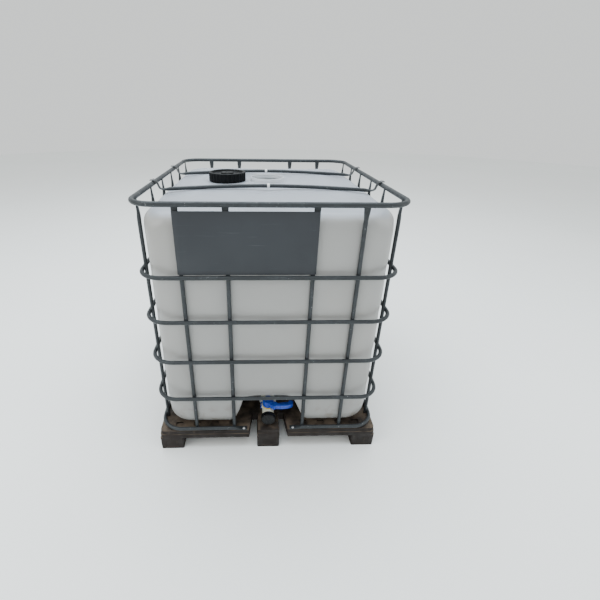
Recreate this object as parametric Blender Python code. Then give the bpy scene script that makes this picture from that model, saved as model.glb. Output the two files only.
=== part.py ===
"""Intermediate bulk container of about 1000 litres: pallet, tube cage, plastic bottle, lid and outlet valve.

Metres, +Z up. The origin is the centre of the footprint on the floor, and the outlet valve faces -Y.
Touching pieces keep a gap of CLEARANCE, because they are welded, screwed or resting, never fused.
"""
import bmesh
import bpy
from math import cos, pi, radians, sin
from mathutils import Matrix, Vector

# ---- driving dimensions -------------------------------------------------------------------------
CLEARANCE = 0.0003

PALLET_WIDTH = 1.000
PALLET_DEPTH = 1.200
DECK_BOTTOM = 0.065
DECK_TOP = 0.107
FOOT_WIDTH = 0.105
FOOT_DEPTH = 0.150

RING_RADIUS = 0.009
RING_OUTER_X = 0.4995
RING_OUTER_Y = 0.5995
RING_CORNER = 0.090
RING_HEIGHTS = (0.876, 0.685, 0.493, 0.294)
RIM_RADIUS = 0.0105
RIM_HEIGHT = 1.145
UPRIGHT_RADIUS = 0.008
UPRIGHT_HALF_DEPTH = 0.0062
FRONT_UPRIGHTS_X = (0.1575, 0.329)
SIDE_UPRIGHTS_Y = (0.095, 0.290, 0.497)

BOTTLE_HALF_X = 0.4680
BOTTLE_HALF_Y = 0.5680
BOTTLE_CORNER = 0.110
BOTTLE_WALL = 0.003
SHOULDER = 0.050
SHOULDER_TOP = 1.107
CROWN = 1.1225
BELLY = 0.062
NECK_RADIUS = 0.079
NECK_TOP = 1.142

CROSSBAR_Y = 0.210
CROSSBAR_RADIUS = 0.008

LID_CENTRE_X = -0.190
LID_RADIUS = 0.087
LID_BOTTOM = 1.1245
LID_HEIGHT = 0.0395

VALVE_FRONT = -0.580
VALVE_HEIGHT = 0.150
STEM_Y = -0.512
BORE_RADIUS = 0.023
CAP_RADIUS = 0.034
LEVER_REACH = 0.118

# ---- sizes worked out from the driving dimensions -----------------------------------------------
RING_X = RING_OUTER_X - RING_RADIUS
RING_Y = RING_OUTER_Y - RING_RADIUS
RIM_X = RING_OUTER_X - RIM_RADIUS
RIM_Y = RING_OUTER_Y - RIM_RADIUS
UPRIGHT_X = RING_X - RING_RADIUS - CLEARANCE - UPRIGHT_HALF_DEPTH
UPRIGHT_Y = RING_Y - RING_RADIUS - CLEARANCE - UPRIGHT_HALF_DEPTH
BOTTLE_BOTTOM = DECK_TOP + CLEARANCE

# ---- finishes: base colour, roughness, metallic -------------------------------------------------
FINISHES = {
    "pallet_plastic": ((0.030, 0.022, 0.018), 0.62, 0.0),
    "galvanised_tube": ((0.095, 0.105, 0.115), 0.42, 0.85),
    "bottle_plastic": ((0.620, 0.650, 0.660), 0.38, 0.0),
    "black_plastic": ((0.010, 0.010, 0.012), 0.30, 0.0),
    "rubber": ((0.015, 0.015, 0.015), 0.80, 0.0),
    "plate_steel": ((0.065, 0.075, 0.085), 0.50, 0.3),
    "zinc_fastener": ((0.560, 0.570, 0.580), 0.35, 1.0),
    "white_band": ((0.780, 0.790, 0.790), 0.50, 0.0),
    "valve_plastic": ((0.800, 0.800, 0.680), 0.35, 0.0),
    "nut_plastic": ((0.760, 0.770, 0.690), 0.40, 0.0),
    "blue_plastic": ((0.008, 0.055, 0.460), 0.28, 0.0),
    "yellow_plastic": ((0.800, 0.620, 0.020), 0.40, 0.0),
}


# ---- helpers ------------------------------------------------------------------------------------
def clear_scene():
    for item in list(bpy.data.objects):
        bpy.data.objects.remove(item, do_unlink=True)


def finish_material(name):
    existing = bpy.data.materials.get(name)
    if existing:
        return existing
    colour, roughness, metallic = FINISHES[name]
    material = bpy.data.materials.new(name)
    material.use_nodes = True
    shader = material.node_tree.nodes["Principled BSDF"]
    shader.inputs["Base Color"].default_value = (*colour, 1.0)
    shader.inputs["Roughness"].default_value = roughness
    shader.inputs["Metallic"].default_value = metallic
    return material


def circle(radius, level, count, centre=(0.0, 0.0), axis="Z", grip=None):
    """Points round an axis. A grip (depth, ribs) sinks the valleys between ribs below the radius."""
    points = []
    for step in range(count):
        turn = 2 * pi * step / count
        reach = radius
        if grip:
            depth, ribs = grip
            reach -= depth * (0.5 - 0.5 * cos(turn * ribs) > 0.5)
        u = centre[0] + reach * cos(turn)
        v = centre[1] + reach * sin(turn)
        points.append(Vector((u, v, level)) if axis == "Z" else Vector((u, level, v)))
    return points


def rounded_rectangle(half_x, half_y, corner, level, steps=6, midpoints=False):
    """Points round a rectangle with arc corners, anticlockwise from the middle of +X."""
    points = []
    for quarter, (sx, sy) in enumerate(((1, 1), (-1, 1), (-1, -1), (1, -1))):
        if midpoints:
            middle = ((half_x, 0), (0, half_y), (-half_x, 0), (0, -half_y))[quarter]
            points.append(Vector((*middle, level)))
        for step in range(steps + 1):
            turn = pi / 2 * (quarter + step / steps)
            x = sx * (half_x - corner) + corner * cos(turn)
            y = sy * (half_y - corner) + corner * sin(turn)
            points.append(Vector((x, y, level)))
    return points


def loft(rings, wrap=False):
    """A closed mesh through rings of equal length. It wraps round to the first, or has end caps."""
    mesh = bmesh.new()
    rows = [[mesh.verts.new(point) for point in ring] for ring in rings]
    pairs = list(zip(rows, rows[1:]))
    if wrap:
        pairs.append((rows[-1], rows[0]))
    else:
        mesh.faces.new(rows[0][::-1])
        mesh.faces.new(rows[-1])
    count = len(rows[0])
    for low, high in pairs:
        for step in range(count):
            after = (step + 1) % count
            mesh.faces.new((low[step], low[after], high[after], high[step]))
    bmesh.ops.recalc_face_normals(mesh, faces=mesh.faces)
    return mesh


def prism(outline, low, high):
    return loft([[Vector((x, y, level)) for x, y in outline] for level in (low, high)])


def block(low, high):
    mesh = bmesh.new()
    bmesh.ops.create_cube(mesh, size=1.0)
    low, high = Vector(low), Vector(high)
    bmesh.ops.scale(mesh, verts=mesh.verts, vec=high - low)
    bmesh.ops.translate(mesh, verts=mesh.verts, vec=(low + high) / 2)
    return mesh


def cylinder(radius, low, high, count=16, centre=(0.0, 0.0), axis="Z"):
    return loft([circle(radius, level, count, centre, axis) for level in (low, high)])


def turned(profile, count=24, centre=(0.0, 0.0), axis="Z", wrap=False):
    """A solid of revolution from (radius, level) or (radius, level, grip) corners."""
    return loft([circle(corner[0], corner[1], count, centre, axis, *corner[2:]) for corner in profile], wrap)


def swept(stations, sides=8, closed=False):
    """A bar through stations (centre, sideways unit, upward unit, half width, half height)."""
    rings = []
    for centre, side, up, half_width, half_height in stations:
        ring = []
        for step in range(sides):
            turn = 2 * pi * (step + 0.5) / sides
            ring.append(Vector(centre) + side * half_width * cos(turn) + up * half_height * sin(turn))
        rings.append(ring)
    return loft(rings, wrap=closed)


def piece(name, mesh, finish, pivot=None):
    data = bpy.data.meshes.new(name)
    mesh.to_mesh(data)
    mesh.free()
    data.materials.append(finish_material(finish))
    data.shade_smooth()
    data.set_sharp_from_angle(angle=radians(35))
    item = bpy.data.objects.new(name, data)
    bpy.context.collection.objects.link(item)
    if pivot:
        data.transform(Matrix.Translation(-Vector(pivot)))
        item.location = pivot
    return item


def guide(name, mesh):
    """A tool solid, used by Boolean modifiers and left out of the part."""
    data = bpy.data.meshes.new(name)
    mesh.to_mesh(data)
    mesh.free()
    item = bpy.data.objects.new(name, data)
    bpy.context.collection.objects.link(item)
    item.hide_render = True
    item.display_type = "WIRE"
    return item


def combine(target, tool, operation):
    modifier = target.modifiers.new(tool.name, "BOOLEAN")
    modifier.operation = operation
    modifier.solver = "EXACT"
    modifier.object = tool


def mirrored(values):
    return [-value for value in reversed(values)] + list(values)


# ---- pallet -------------------------------------------------------------------------------------
SLOT_INNER = 0.048
SLOT_OUTER_REAR = 0.077
SLOT_OUTER_FRONT = 0.089
SLOT_DEPTH = 0.105
FOOT_CORNER = 0.006
SCREW_X = 0.113
SCREW_SHANK = 0.0025
SCREW_HOLE = 0.0030
RAIL_SCREW_SIDE_Y = 0.380
RAIL_SCREW_REAR_X = 0.245


def rail_screw_places():
    places = [(x, -RING_Y) for x in (-SCREW_X, SCREW_X)]
    places += [(sx * RING_X, sy * RAIL_SCREW_SIDE_Y) for sx in (-1, 1) for sy in (-1, 1)]
    places += [(x, RING_Y) for x in (-RAIL_SCREW_REAR_X, RAIL_SCREW_REAR_X)]
    return places


def make_pallet():
    corner = 0.020
    outline = []
    for point in rounded_rectangle(PALLET_WIDTH / 2, PALLET_DEPTH / 2, corner, 0.0, steps=3):
        outline.append((point.x, point.y))
    front = -PALLET_DEPTH / 2
    slots = [
        (-SLOT_OUTER_FRONT, front), (-SLOT_OUTER_REAR, front + SLOT_DEPTH),
        (-SLOT_INNER, front + SLOT_DEPTH), (-SLOT_INNER, front),
    ]
    slots += [(-x, y) for x, y in reversed(slots)]
    lower_left = len(outline) * 3 // 4
    outline[lower_left:lower_left] = slots
    pallet = piece("pallet", prism(outline, DECK_BOTTOM, DECK_TOP), "pallet_plastic")
    for row, y in enumerate((-1, 0, 1)):
        for column, x in enumerate((-1, 0, 1)):
            cx = x * (PALLET_WIDTH - FOOT_WIDTH) / 2
            cy = y * (PALLET_DEPTH - FOOT_DEPTH) / 2
            rings = []
            for level, shrink in ((0.0, 0.0022), (0.002, 0.0006), (DECK_BOTTOM + 0.004, 0.0002)):
                half_width, half_depth = FOOT_WIDTH / 2 - shrink, FOOT_DEPTH / 2 - shrink
                ring = rounded_rectangle(half_width, half_depth, FOOT_CORNER, level, 2)
                rings.append([point + Vector((cx, cy, 0)) for point in ring])
            combine(pallet, guide(f"foot_{row}_{column}", loft(rings)), "UNION")
    for number, place in enumerate(rail_screw_places()):
        hole = cylinder(SCREW_HOLE, DECK_BOTTOM + 0.010, DECK_TOP + 0.010, 8, place)
        combine(pallet, guide(f"pallet_hole_{number}", hole), "DIFFERENCE")


# ---- bottle -------------------------------------------------------------------------------------
def bottle_body(skin):
    """The bottle's outer form, shrunk by skin; its neck stays open upwards when it is shrunk."""
    half_x, half_y = BOTTLE_HALF_X - skin, BOTTLE_HALF_Y - skin
    corner = BOTTLE_CORNER - skin
    rings = []
    belly, shoulder = BELLY - skin, SHOULDER - skin

    def wall(inset, level):
        rings.append(rounded_rectangle(half_x - inset, half_y - inset, max(corner - inset * 0.6, 0.03),
                                       level, steps=6, midpoints=True))

    for step in range(5):
        turn = pi / 2 * step / 4
        wall(belly * (1 - sin(turn)), BOTTLE_BOTTOM + skin + belly * (1 - cos(turn)))
    for step in range(5):
        turn = pi / 2 * step / 4
        wall(shoulder * (1 - cos(turn)), SHOULDER_TOP - skin - shoulder * (1 - sin(turn)))
    wall(0.200, CROWN - skin - 0.0020)
    count = len(rings[0])
    neck = NECK_RADIUS - skin
    for radius, level in ((0.130, CROWN - skin), (NECK_RADIUS + 0.005, CROWN - skin),
                          (neck, CROWN - skin + 0.0035), (neck, NECK_TOP + 3 * skin)):
        ring = []
        for step in range(count):
            turn = 2 * pi * step / count
            ring.append(Vector((radius * cos(turn), radius * sin(turn), level)))
        rings.append(ring)
    return loft(rings)


BAY_FRONT = -0.620
BAY_REAR = -0.395
BAY_CORNER = 0.030


def valve_bay(skin):
    """The arch pressed into the bottle's foot round the valve, grown by skin: low half, top half, top."""
    rings = []
    sections = ((BAY_FRONT, 0.195, 0.105, 0.292), (BAY_REAR + skin, 0.145, 0.105, 0.256))
    for y, low_half, top_half, top in sections:
        outline = [(low_half + skin, BOTTLE_BOTTOM - 0.030), (low_half + skin, BOTTLE_BOTTOM)]
        for step in range(4):
            turn = pi / 2 * step / 3
            inset, drop = BAY_CORNER * (1 - cos(turn)), BAY_CORNER * (1 - sin(turn))
            outline.append((top_half + skin - inset, top + skin - drop))
        outline += [(-x, z) for x, z in reversed(outline)]
        rings.append([Vector((x, y, z)) for x, z in outline])
    return loft(rings)


STUB_RADIUS = 0.030
STUB_FRONT = -0.4565
STUB_REAR = BAY_REAR + 0.002


def make_bottle():
    bottle = piece("bottle", bottle_body(0.0), "bottle_plastic")
    combine(bottle, guide("bay_outside", valve_bay(0.0)), "DIFFERENCE")
    stub = cylinder(STUB_RADIUS, STUB_FRONT, STUB_REAR, 24, (0, VALVE_HEIGHT), "Y")
    combine(bottle, guide("outlet_stub", stub), "UNION")
    hollow = guide("bottle_inside", bottle_body(BOTTLE_WALL))
    combine(hollow, guide("bay_inside", valve_bay(BOTTLE_WALL)), "DIFFERENCE")
    bore = cylinder(BORE_RADIUS, STUB_FRONT - 0.010, STUB_REAR + 0.020, 24, (0, VALVE_HEIGHT), "Y")
    combine(hollow, guide("outlet_bore", bore), "UNION")
    combine(bottle, hollow, "DIFFERENCE")


# ---- lid ----------------------------------------------------------------------------------------
LID_TOP = LID_BOTTOM + LID_HEIGHT
LID_PLATE = LID_TOP - 0.010
LID_PLATE_THICKNESS = 0.004
LID_GRIP = (0.0035, 30)
PLUG_HOLE = 0.026


def make_lid():
    centre = (LID_CENTRE_X, 0.0)
    pivot = (LID_CENTRE_X, 0.0, LID_BOTTOM)
    underside = LID_PLATE - LID_PLATE_THICKNESS
    shell = [
        (LID_RADIUS, LID_BOTTOM, LID_GRIP), (LID_RADIUS, LID_TOP - 0.004, LID_GRIP),
        (LID_RADIUS - 0.004, LID_TOP, LID_GRIP), (LID_RADIUS - 0.012, LID_TOP),
        (LID_RADIUS - 0.014, LID_PLATE), (PLUG_HOLE, LID_PLATE), (PLUG_HOLE, underside),
        (LID_RADIUS - 0.007, underside), (LID_RADIUS - 0.007, LID_BOTTOM),
    ]
    piece("lid", turned(shell, 60, centre, wrap=True), "black_plastic", pivot)
    seal_top = underside - CLEARANCE
    seal = [(0.0725, seal_top), (0.0795, seal_top), (0.0795, seal_top - 0.004), (0.0725, seal_top - 0.004)]
    piece("lid_gasket", turned(seal, 32, centre, wrap=True), "rubber", pivot)
    flange = LID_PLATE + CLEARANCE
    plug = [
        (PLUG_HOLE - 0.003, underside - 0.008), (PLUG_HOLE - 0.003, flange + 0.0018),
        (0.0305, flange + 0.0018), (0.0305, flange + 0.0050), (0.0280, flange + 0.0072),
        (0.0120, flange + 0.0072),
    ]
    piece("vent_plug", turned(plug, 24, centre), "black_plastic", pivot)
    washer = [(PLUG_HOLE + 0.0005, flange), (0.0300, flange), (0.0300, flange + 0.0015),
              (PLUG_HOLE + 0.0005, flange + 0.0015)]
    piece("vent_gasket", turned(washer, 24, centre, wrap=True), "rubber", pivot)


# ---- cage ---------------------------------------------------------------------------------------
def loop_stations(half_x, half_y, level, radius, steps=4):
    """Stations round a closed tube loop, with its corners bent to RING_CORNER."""
    path = rounded_rectangle(half_x, half_y, RING_CORNER, level, steps)
    stations = []
    for step, point in enumerate(path):
        ahead = (path[(step + 1) % len(path)] - point).normalized()
        behind = (point - path[step - 1]).normalized()
        along = (ahead + behind).normalized()
        stations.append((point, Vector((along.y, -along.x, 0)), Vector((0, 0, 1)), radius, radius))
    return stations


def make_rings():
    rim = piece("top_rim", swept(loop_stations(RIM_X, RIM_Y, RIM_HEIGHT, RIM_RADIUS), closed=True),
                "galvanised_tube")
    for number, (x, y) in enumerate(crossbar_bolt_places()):
        hole = cylinder(BOLT_SHANK + CLEARANCE, RIM_HEIGHT - 0.004, RIM_HEIGHT + 0.030, 8, (x, y))
        combine(rim, guide(f"rim_hole_{number}", hole), "DIFFERENCE")
    for number, level in enumerate(RING_HEIGHTS, start=1):
        loop = swept(loop_stations(RING_X, RING_Y, level, RING_RADIUS), closed=True)
        piece(f"cage_ring_{number}", loop, "galvanised_tube")


def flat_zone(distance, reach=0.018, taper=0.026):
    """How far a tube is pressed flat at a distance from a screw: 1 at the screw, 0 where it is round."""
    return max(0.0, min(1.0, 1.0 - (distance - reach) / taper))


def make_bottom_rail():
    """The rail on the deck: open in front of the valve, pressed flat at its ends and at its screws."""
    flat_half_width, flat_half_height = 0.0125, 0.0028
    front_end = SCREW_X - 0.014
    corners = rounded_rectangle(RING_X, RING_Y, RING_CORNER, 0.0, 5)
    split = len(corners) * 3 // 4
    path = [Vector((front_end, -RING_Y, 0))] + corners[split:] + corners[:split]
    path.append(Vector((-front_end, -RING_Y, 0)))
    screws = [Vector((*place, 0)) for place in rail_screw_places()]
    points = [path[0]]
    for start, end in zip(path, path[1:]):
        stops = []
        for screw in screws:
            along = (screw - start).dot((end - start).normalized())
            off_line = (screw - start - (end - start).normalized() * along).length
            if off_line < 0.001:
                stops += [along + offset for offset in (-0.044, -0.018, 0.0, 0.018, 0.044)]
        length = (end - start).length
        for stop in sorted(stops):
            if 0.001 < stop < length - 0.001:
                points.append(start + (end - start) * (stop / length))
        points.append(end)
    stations = []
    for step, point in enumerate(points):
        ahead = points[min(step + 1, len(points) - 1)]
        behind = points[max(step - 1, 0)]
        along = (ahead - behind).normalized()
        flat = max(flat_zone((point - screw).length) for screw in screws)
        half_width = RING_RADIUS + (flat_half_width - RING_RADIUS) * flat
        half_height = RING_RADIUS + (flat_half_height - RING_RADIUS) * flat
        inward = Vector((-along.y, along.x, 0)) * (half_width - RING_RADIUS)
        centre = point + inward + Vector((0, 0, DECK_TOP + CLEARANCE + half_height))
        stations.append((centre, Vector((along.y, -along.x, 0)), Vector((0, 0, 1)), half_width, half_height))
    rail = piece("bottom_rail", swept(stations), "galvanised_tube")
    head_level = DECK_TOP + CLEARANCE + 2 * flat_half_height + CLEARANCE
    for number, (x, y) in enumerate(rail_screw_places(), start=1):
        hole = cylinder(SCREW_HOLE, DECK_TOP - 0.010, head_level + 0.010, 8, (x, y))
        combine(rail, guide(f"rail_hole_{number}", hole), "DIFFERENCE")
        screw = [(SCREW_SHANK, DECK_BOTTOM + 0.012), (SCREW_SHANK, head_level), (0.0062, head_level),
                 (0.0062, head_level + 0.0022), (0.0035, head_level + 0.0040)]
        piece(f"rail_screw_{number}", turned(screw, 8, (x, y)), "zinc_fastener")


def upright(name, x, y, facing):
    """One vertical tube inside the rings, pressed a little by them, with a flat top against the rim."""
    along = Vector((-facing[1], facing[0], 0))
    outward = Vector((*facing, 0))
    half_flat = 0.0026
    bottom, top = DECK_TOP + 2 * CLEARANCE, RIM_HEIGHT - 0.002
    rim_inner = (RIM_X if facing[0] else RIM_Y) - RIM_RADIUS - CLEARANCE
    flat_offset = rim_inner - half_flat - abs(x * facing[0] + y * facing[1])
    levels = (
        (bottom, UPRIGHT_RADIUS, UPRIGHT_HALF_DEPTH, 0.0),
        (top - 0.065, UPRIGHT_RADIUS, UPRIGHT_HALF_DEPTH, 0.0),
        (top - 0.026, 0.0120, half_flat, flat_offset),
        (top, 0.0100, half_flat, flat_offset),
    )
    stations = []
    for level, half_width, half_depth, offset in levels:
        centre = Vector((x, y, level)) + outward * offset
        stations.append((centre, along, outward, half_width, half_depth))
    piece(name, swept(stations), "galvanised_tube")


def make_uprights():
    for side, sign in (("front", -1), ("rear", 1)):
        for number, x in enumerate(mirrored(FRONT_UPRIGHTS_X), start=1):
            upright(f"{side}_upright_{number}", x, sign * UPRIGHT_Y, (0, sign))
    for side, sign in (("left", -1), ("right", 1)):
        for number, y in enumerate(mirrored(SIDE_UPRIGHTS_Y), start=1):
            upright(f"{side}_upright_{number}", sign * UPRIGHT_X, y, (sign, 0))


# ---- crossbars, bands and label plate -----------------------------------------------------------
BOLT_SHANK = 0.0040
TAB_HALF_HEIGHT = 0.0020
CROSSBAR_MIDDLE = 1.137


def crossbar_bolt_places():
    return [(sx * RIM_X, sy * CROSSBAR_Y) for sy in (-1, 1) for sx in (-1, 1)]


def make_band(name, y):
    """The narrow white sleeve round the middle of a crossbar."""
    inner, outer, half_width = CROSSBAR_RADIUS + CLEARANCE, CROSSBAR_RADIUS + 0.0018, 0.0055
    rings = []
    for radius, x in ((inner, -half_width), (outer, -half_width), (outer, half_width), (inner, half_width)):
        ring = []
        for step in range(16):
            turn = 2 * pi * step / 16
            ring.append(Vector((x, y + radius * cos(turn), CROSSBAR_MIDDLE + radius * sin(turn))))
        rings.append(ring)
    piece(name, loft(rings, wrap=True), "white_band")


def make_crossbars():
    tab_level = RIM_HEIGHT + RIM_RADIUS + CLEARANCE + TAB_HALF_HEIGHT
    half = [
        (0.000, CROSSBAR_MIDDLE, CROSSBAR_RADIUS, CROSSBAR_RADIUS),
        (0.200, CROSSBAR_MIDDLE - 0.004, CROSSBAR_RADIUS, CROSSBAR_RADIUS),
        (0.420, CROSSBAR_MIDDLE - 0.015, CROSSBAR_RADIUS, CROSSBAR_RADIUS),
        (0.447, CROSSBAR_MIDDLE - 0.017, 0.0110, 0.0045),
        (0.462, CROSSBAR_MIDDLE - 0.012, 0.0130, TAB_HALF_HEIGHT),
        (0.471, CROSSBAR_MIDDLE + 0.006, 0.0140, TAB_HALF_HEIGHT),
        (0.475, tab_level - 0.003, 0.0140, TAB_HALF_HEIGHT),
        (0.481, tab_level, 0.0140, TAB_HALF_HEIGHT),
        (RING_OUTER_X, tab_level, 0.0140, TAB_HALF_HEIGHT),
    ]
    profile = [(-x, z, w, h) for x, z, w, h in reversed(half[1:])] + half
    for name, sign in (("front", -1), ("rear", 1)):
        stations = []
        for step, (x, z, half_width, half_height) in enumerate(profile):
            ahead = profile[min(step + 1, len(profile) - 1)]
            behind = profile[max(step - 1, 0)]
            along = Vector((ahead[0] - behind[0], 0, ahead[1] - behind[1])).normalized()
            up = Vector((-along.z, 0, along.x))
            centre = Vector((x, sign * CROSSBAR_Y, z))
            stations.append((centre, Vector((0, 1, 0)), up, half_width, half_height))
        bar = piece(f"crossbar_{name}", swept(stations), "galvanised_tube")
        for side in (-1, 1):
            place = (side * RIM_X, sign * CROSSBAR_Y)
            hole = cylinder(BOLT_SHANK + CLEARANCE, tab_level - 0.010, tab_level + 0.010, 8, place)
            combine(bar, guide(f"tab_hole_{name}_{side}", hole), "DIFFERENCE")
        make_band(f"crossbar_band_{name}", sign * CROSSBAR_Y)
    head = tab_level + TAB_HALF_HEIGHT + CLEARANCE
    for number, (x, y) in enumerate(crossbar_bolt_places(), start=1):
        bolt = [(BOLT_SHANK, RIM_HEIGHT - 0.002), (BOLT_SHANK, head), (0.0075, head),
                (0.0075, head + 0.0040), (0.0060, head + 0.0048)]
        piece(f"crossbar_bolt_{number}", turned(bolt, 12, (x, y)), "zinc_fastener")


PLATE_LEFT = -0.340
PLATE_RIGHT = 0.168
PLATE_BOTTOM = 0.887
PLATE_TOP = 1.122
PLATE_THICKNESS = 0.0012


def make_label_plate():
    back = -UPRIGHT_Y - UPRIGHT_HALF_DEPTH - CLEARANCE
    front = back - PLATE_THICKNESS
    outline = [(back, PLATE_BOTTOM), (front, PLATE_BOTTOM), (front, PLATE_TOP), (back, PLATE_TOP)]
    rings = [[Vector((x, y, z)) for y, z in outline] for x in (PLATE_LEFT, PLATE_RIGHT)]
    piece("label_plate", loft(rings), "plate_steel")


# ---- outlet valve -------------------------------------------------------------------------------
AXIS = (0.0, VALVE_HEIGHT)
CAP_PLATE = 0.003
CAP_LENGTH = 0.022
TUBE_RADIUS = 0.027
THREAD_RADIUS = 0.0285
FLANGE_RADIUS = 0.0315
BODY_FRONT = VALVE_FRONT + CAP_PLATE + 2 * CLEARANCE + 0.0015
BODY_REAR = STUB_FRONT - 2 * CLEARANCE - 0.0010
STEM_RADIUS = 0.0050
STEM_BORE = 0.0054
BOSS_TOP = VALVE_HEIGHT + 0.0285
HUB_RADIUS = 0.0255
HUB_BOTTOM = BOSS_TOP + 0.0030
HUB_TOP = VALVE_HEIGHT + 0.0640
LEVER_LOW = VALVE_HEIGHT + CAP_RADIUS + 0.0030
LEVER_HIGH = LEVER_LOW + 0.0200
LATCH_PIVOT = (-0.0305, -0.4990)


def make_valve_body():
    tube = [
        (THREAD_RADIUS, BODY_FRONT), (THREAD_RADIUS, VALVE_FRONT + CAP_LENGTH),
        (TUBE_RADIUS, VALVE_FRONT + CAP_LENGTH),
        (TUBE_RADIUS, BODY_REAR - 0.004), (FLANGE_RADIUS, BODY_REAR - 0.004), (FLANGE_RADIUS, BODY_REAR),
        (BORE_RADIUS, BODY_REAR), (BORE_RADIUS, BODY_FRONT),
    ]
    body = piece("valve_body", turned(tube, 24, AXIS, "Y", wrap=True), "valve_plastic")
    stem = (0.0, STEM_Y)
    combine(body, guide("stem_boss", cylinder(0.0125, VALVE_HEIGHT + 0.0245, BOSS_TOP, 16, stem)), "UNION")
    foot = cylinder(0.0100, VALVE_HEIGHT - 0.0300, VALVE_HEIGHT - 0.0245, 12, stem)
    combine(body, guide("foot_boss", foot), "UNION")
    px, py = LATCH_PIVOT
    lug = block((px - 0.005, py - 0.006, VALVE_HEIGHT + 0.004),
                (px + 0.007, py + 0.006, BOSS_TOP - CLEARANCE))
    combine(body, guide("latch_lug", lug), "UNION")
    combine(body, guide("stem_bore", cylinder(STEM_BORE, VALVE_HEIGHT - 0.0275, BOSS_TOP + 0.010, 12, stem)),
            "DIFFERENCE")
    pin_hole = cylinder(0.0019, VALVE_HEIGHT + 0.014, BOSS_TOP + 0.010, 8, LATCH_PIVOT)
    combine(body, guide("latch_pin_hole", pin_hole), "DIFFERENCE")


def make_union_nut():
    grip = (0.0035, 8)
    rear = STUB_FRONT + 0.0205
    front = BODY_REAR - 0.004 - CLEARANCE
    nut = [
        (0.0275, front - 0.004), (0.0330, front - 0.004), (0.0400, front + 0.001, grip),
        (0.0405, rear - 0.003, grip), (0.0395, rear, grip), (0.0320, rear), (0.0320, front), (0.0275, front),
    ]
    piece("union_nut", turned(nut, 32, AXIS, "Y", wrap=True), "nut_plastic", (0, rear, VALVE_HEIGHT))
    low, high = BODY_REAR + CLEARANCE, STUB_FRONT - CLEARANCE
    washer = [(BORE_RADIUS, low), (0.0298, low), (0.0298, high), (BORE_RADIUS, high)]
    piece("outlet_gasket", turned(washer, 24, AXIS, "Y", wrap=True), "rubber")


def make_butterfly():
    stem = (0.0, STEM_Y)
    pivot = (0.0, STEM_Y, VALVE_HEIGHT)
    disc_radius, half_thickness = BORE_RADIUS - 0.0006, 0.0020
    plate = cylinder(disc_radius, STEM_Y - half_thickness, STEM_Y + half_thickness, 24, AXIS, "Y")
    disc = piece("butterfly_disc", plate, "black_plastic", pivot)
    bead = cylinder(0.0078, VALVE_HEIGHT - 0.0200, VALVE_HEIGHT + 0.0200, 12, stem)
    combine(disc, guide("disc_hub", bead), "UNION")
    bore = cylinder(STEM_BORE, VALVE_HEIGHT - 0.030, VALVE_HEIGHT + 0.030, 12, stem)
    combine(disc, guide("disc_bore", bore), "DIFFERENCE")
    rod = cylinder(STEM_RADIUS, VALVE_HEIGHT - 0.0270, HUB_TOP - 0.010, 12, stem)
    piece("valve_stem", rod, "zinc_fastener", pivot)


def on_lever(shares):
    """Places seen from above, from shares of the lever's reach: (along +X, forward) from the stem."""
    return [(LEVER_REACH * along, STEM_Y - LEVER_REACH * forward) for along, forward in shares]


def lever_outline():
    return on_lever([
        (0.078, 0.238), (0.160, 0.300), (0.205, 0.345), (0.262, 0.342), (0.292, 0.305), (0.430, 0.318),
        (0.610, 0.316), (0.790, 0.290), (0.905, 0.245), (0.970, 0.190), (1.000, 0.110), (0.984, 0.050),
        (0.930, 0.015), (0.845, 0.012), (0.822, 0.044), (0.655, 0.050), (0.520, 0.078), (0.340, 0.100),
        (0.235, 0.030), (0.150, -0.090),
    ])


def make_lever():
    pivot = (0.0, STEM_Y, VALVE_HEIGHT)
    stem = (0.0, STEM_Y)
    hub = [(HUB_RADIUS - 0.001, HUB_BOTTOM), (HUB_RADIUS, HUB_BOTTOM + 0.002),
           (HUB_RADIUS, HUB_TOP - 0.0015), (HUB_RADIUS - 0.0015, HUB_TOP)]
    lever = piece("valve_lever", turned(hub, 28, stem), "blue_plastic", pivot)
    arm = guide("lever_arm", prism(lever_outline(), LEVER_LOW, LEVER_HIGH))
    web = on_lever([
        (0.810, 0.150), (0.700, 0.200), (0.560, 0.215), (0.420, 0.180), (0.330, 0.108), (0.330, 0.000),
        (0.815, 0.000),
    ])
    pocket_depth = 0.006
    above = prism(web, LEVER_HIGH - pocket_depth, LEVER_HIGH + pocket_depth)
    below = prism(web, LEVER_LOW - pocket_depth, LEVER_LOW + pocket_depth)
    combine(arm, guide("lever_pocket_above", above), "DIFFERENCE")
    combine(arm, guide("lever_pocket_below", below), "DIFFERENCE")
    combine(lever, arm, "UNION")
    hub_front = STEM_Y - HUB_RADIUS
    tab = block((0.004, hub_front - 0.004, HUB_TOP - 0.014), (0.009, hub_front + 0.004, HUB_TOP - 0.004))
    combine(lever, guide("lever_tab", tab), "UNION")
    bore = cylinder(STEM_BORE, HUB_BOTTOM - 0.010, HUB_TOP - 0.009, 12, stem)
    combine(lever, guide("lever_bore", bore), "DIFFERENCE")
    low, high = BOSS_TOP + CLEARANCE, HUB_BOTTOM - CLEARANCE
    seal = [(0.0060, low), (0.0268, low), (0.0268, high), (0.0060, high)]
    piece("hub_seal", turned(seal, 28, stem, wrap=True), "yellow_plastic")


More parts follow.
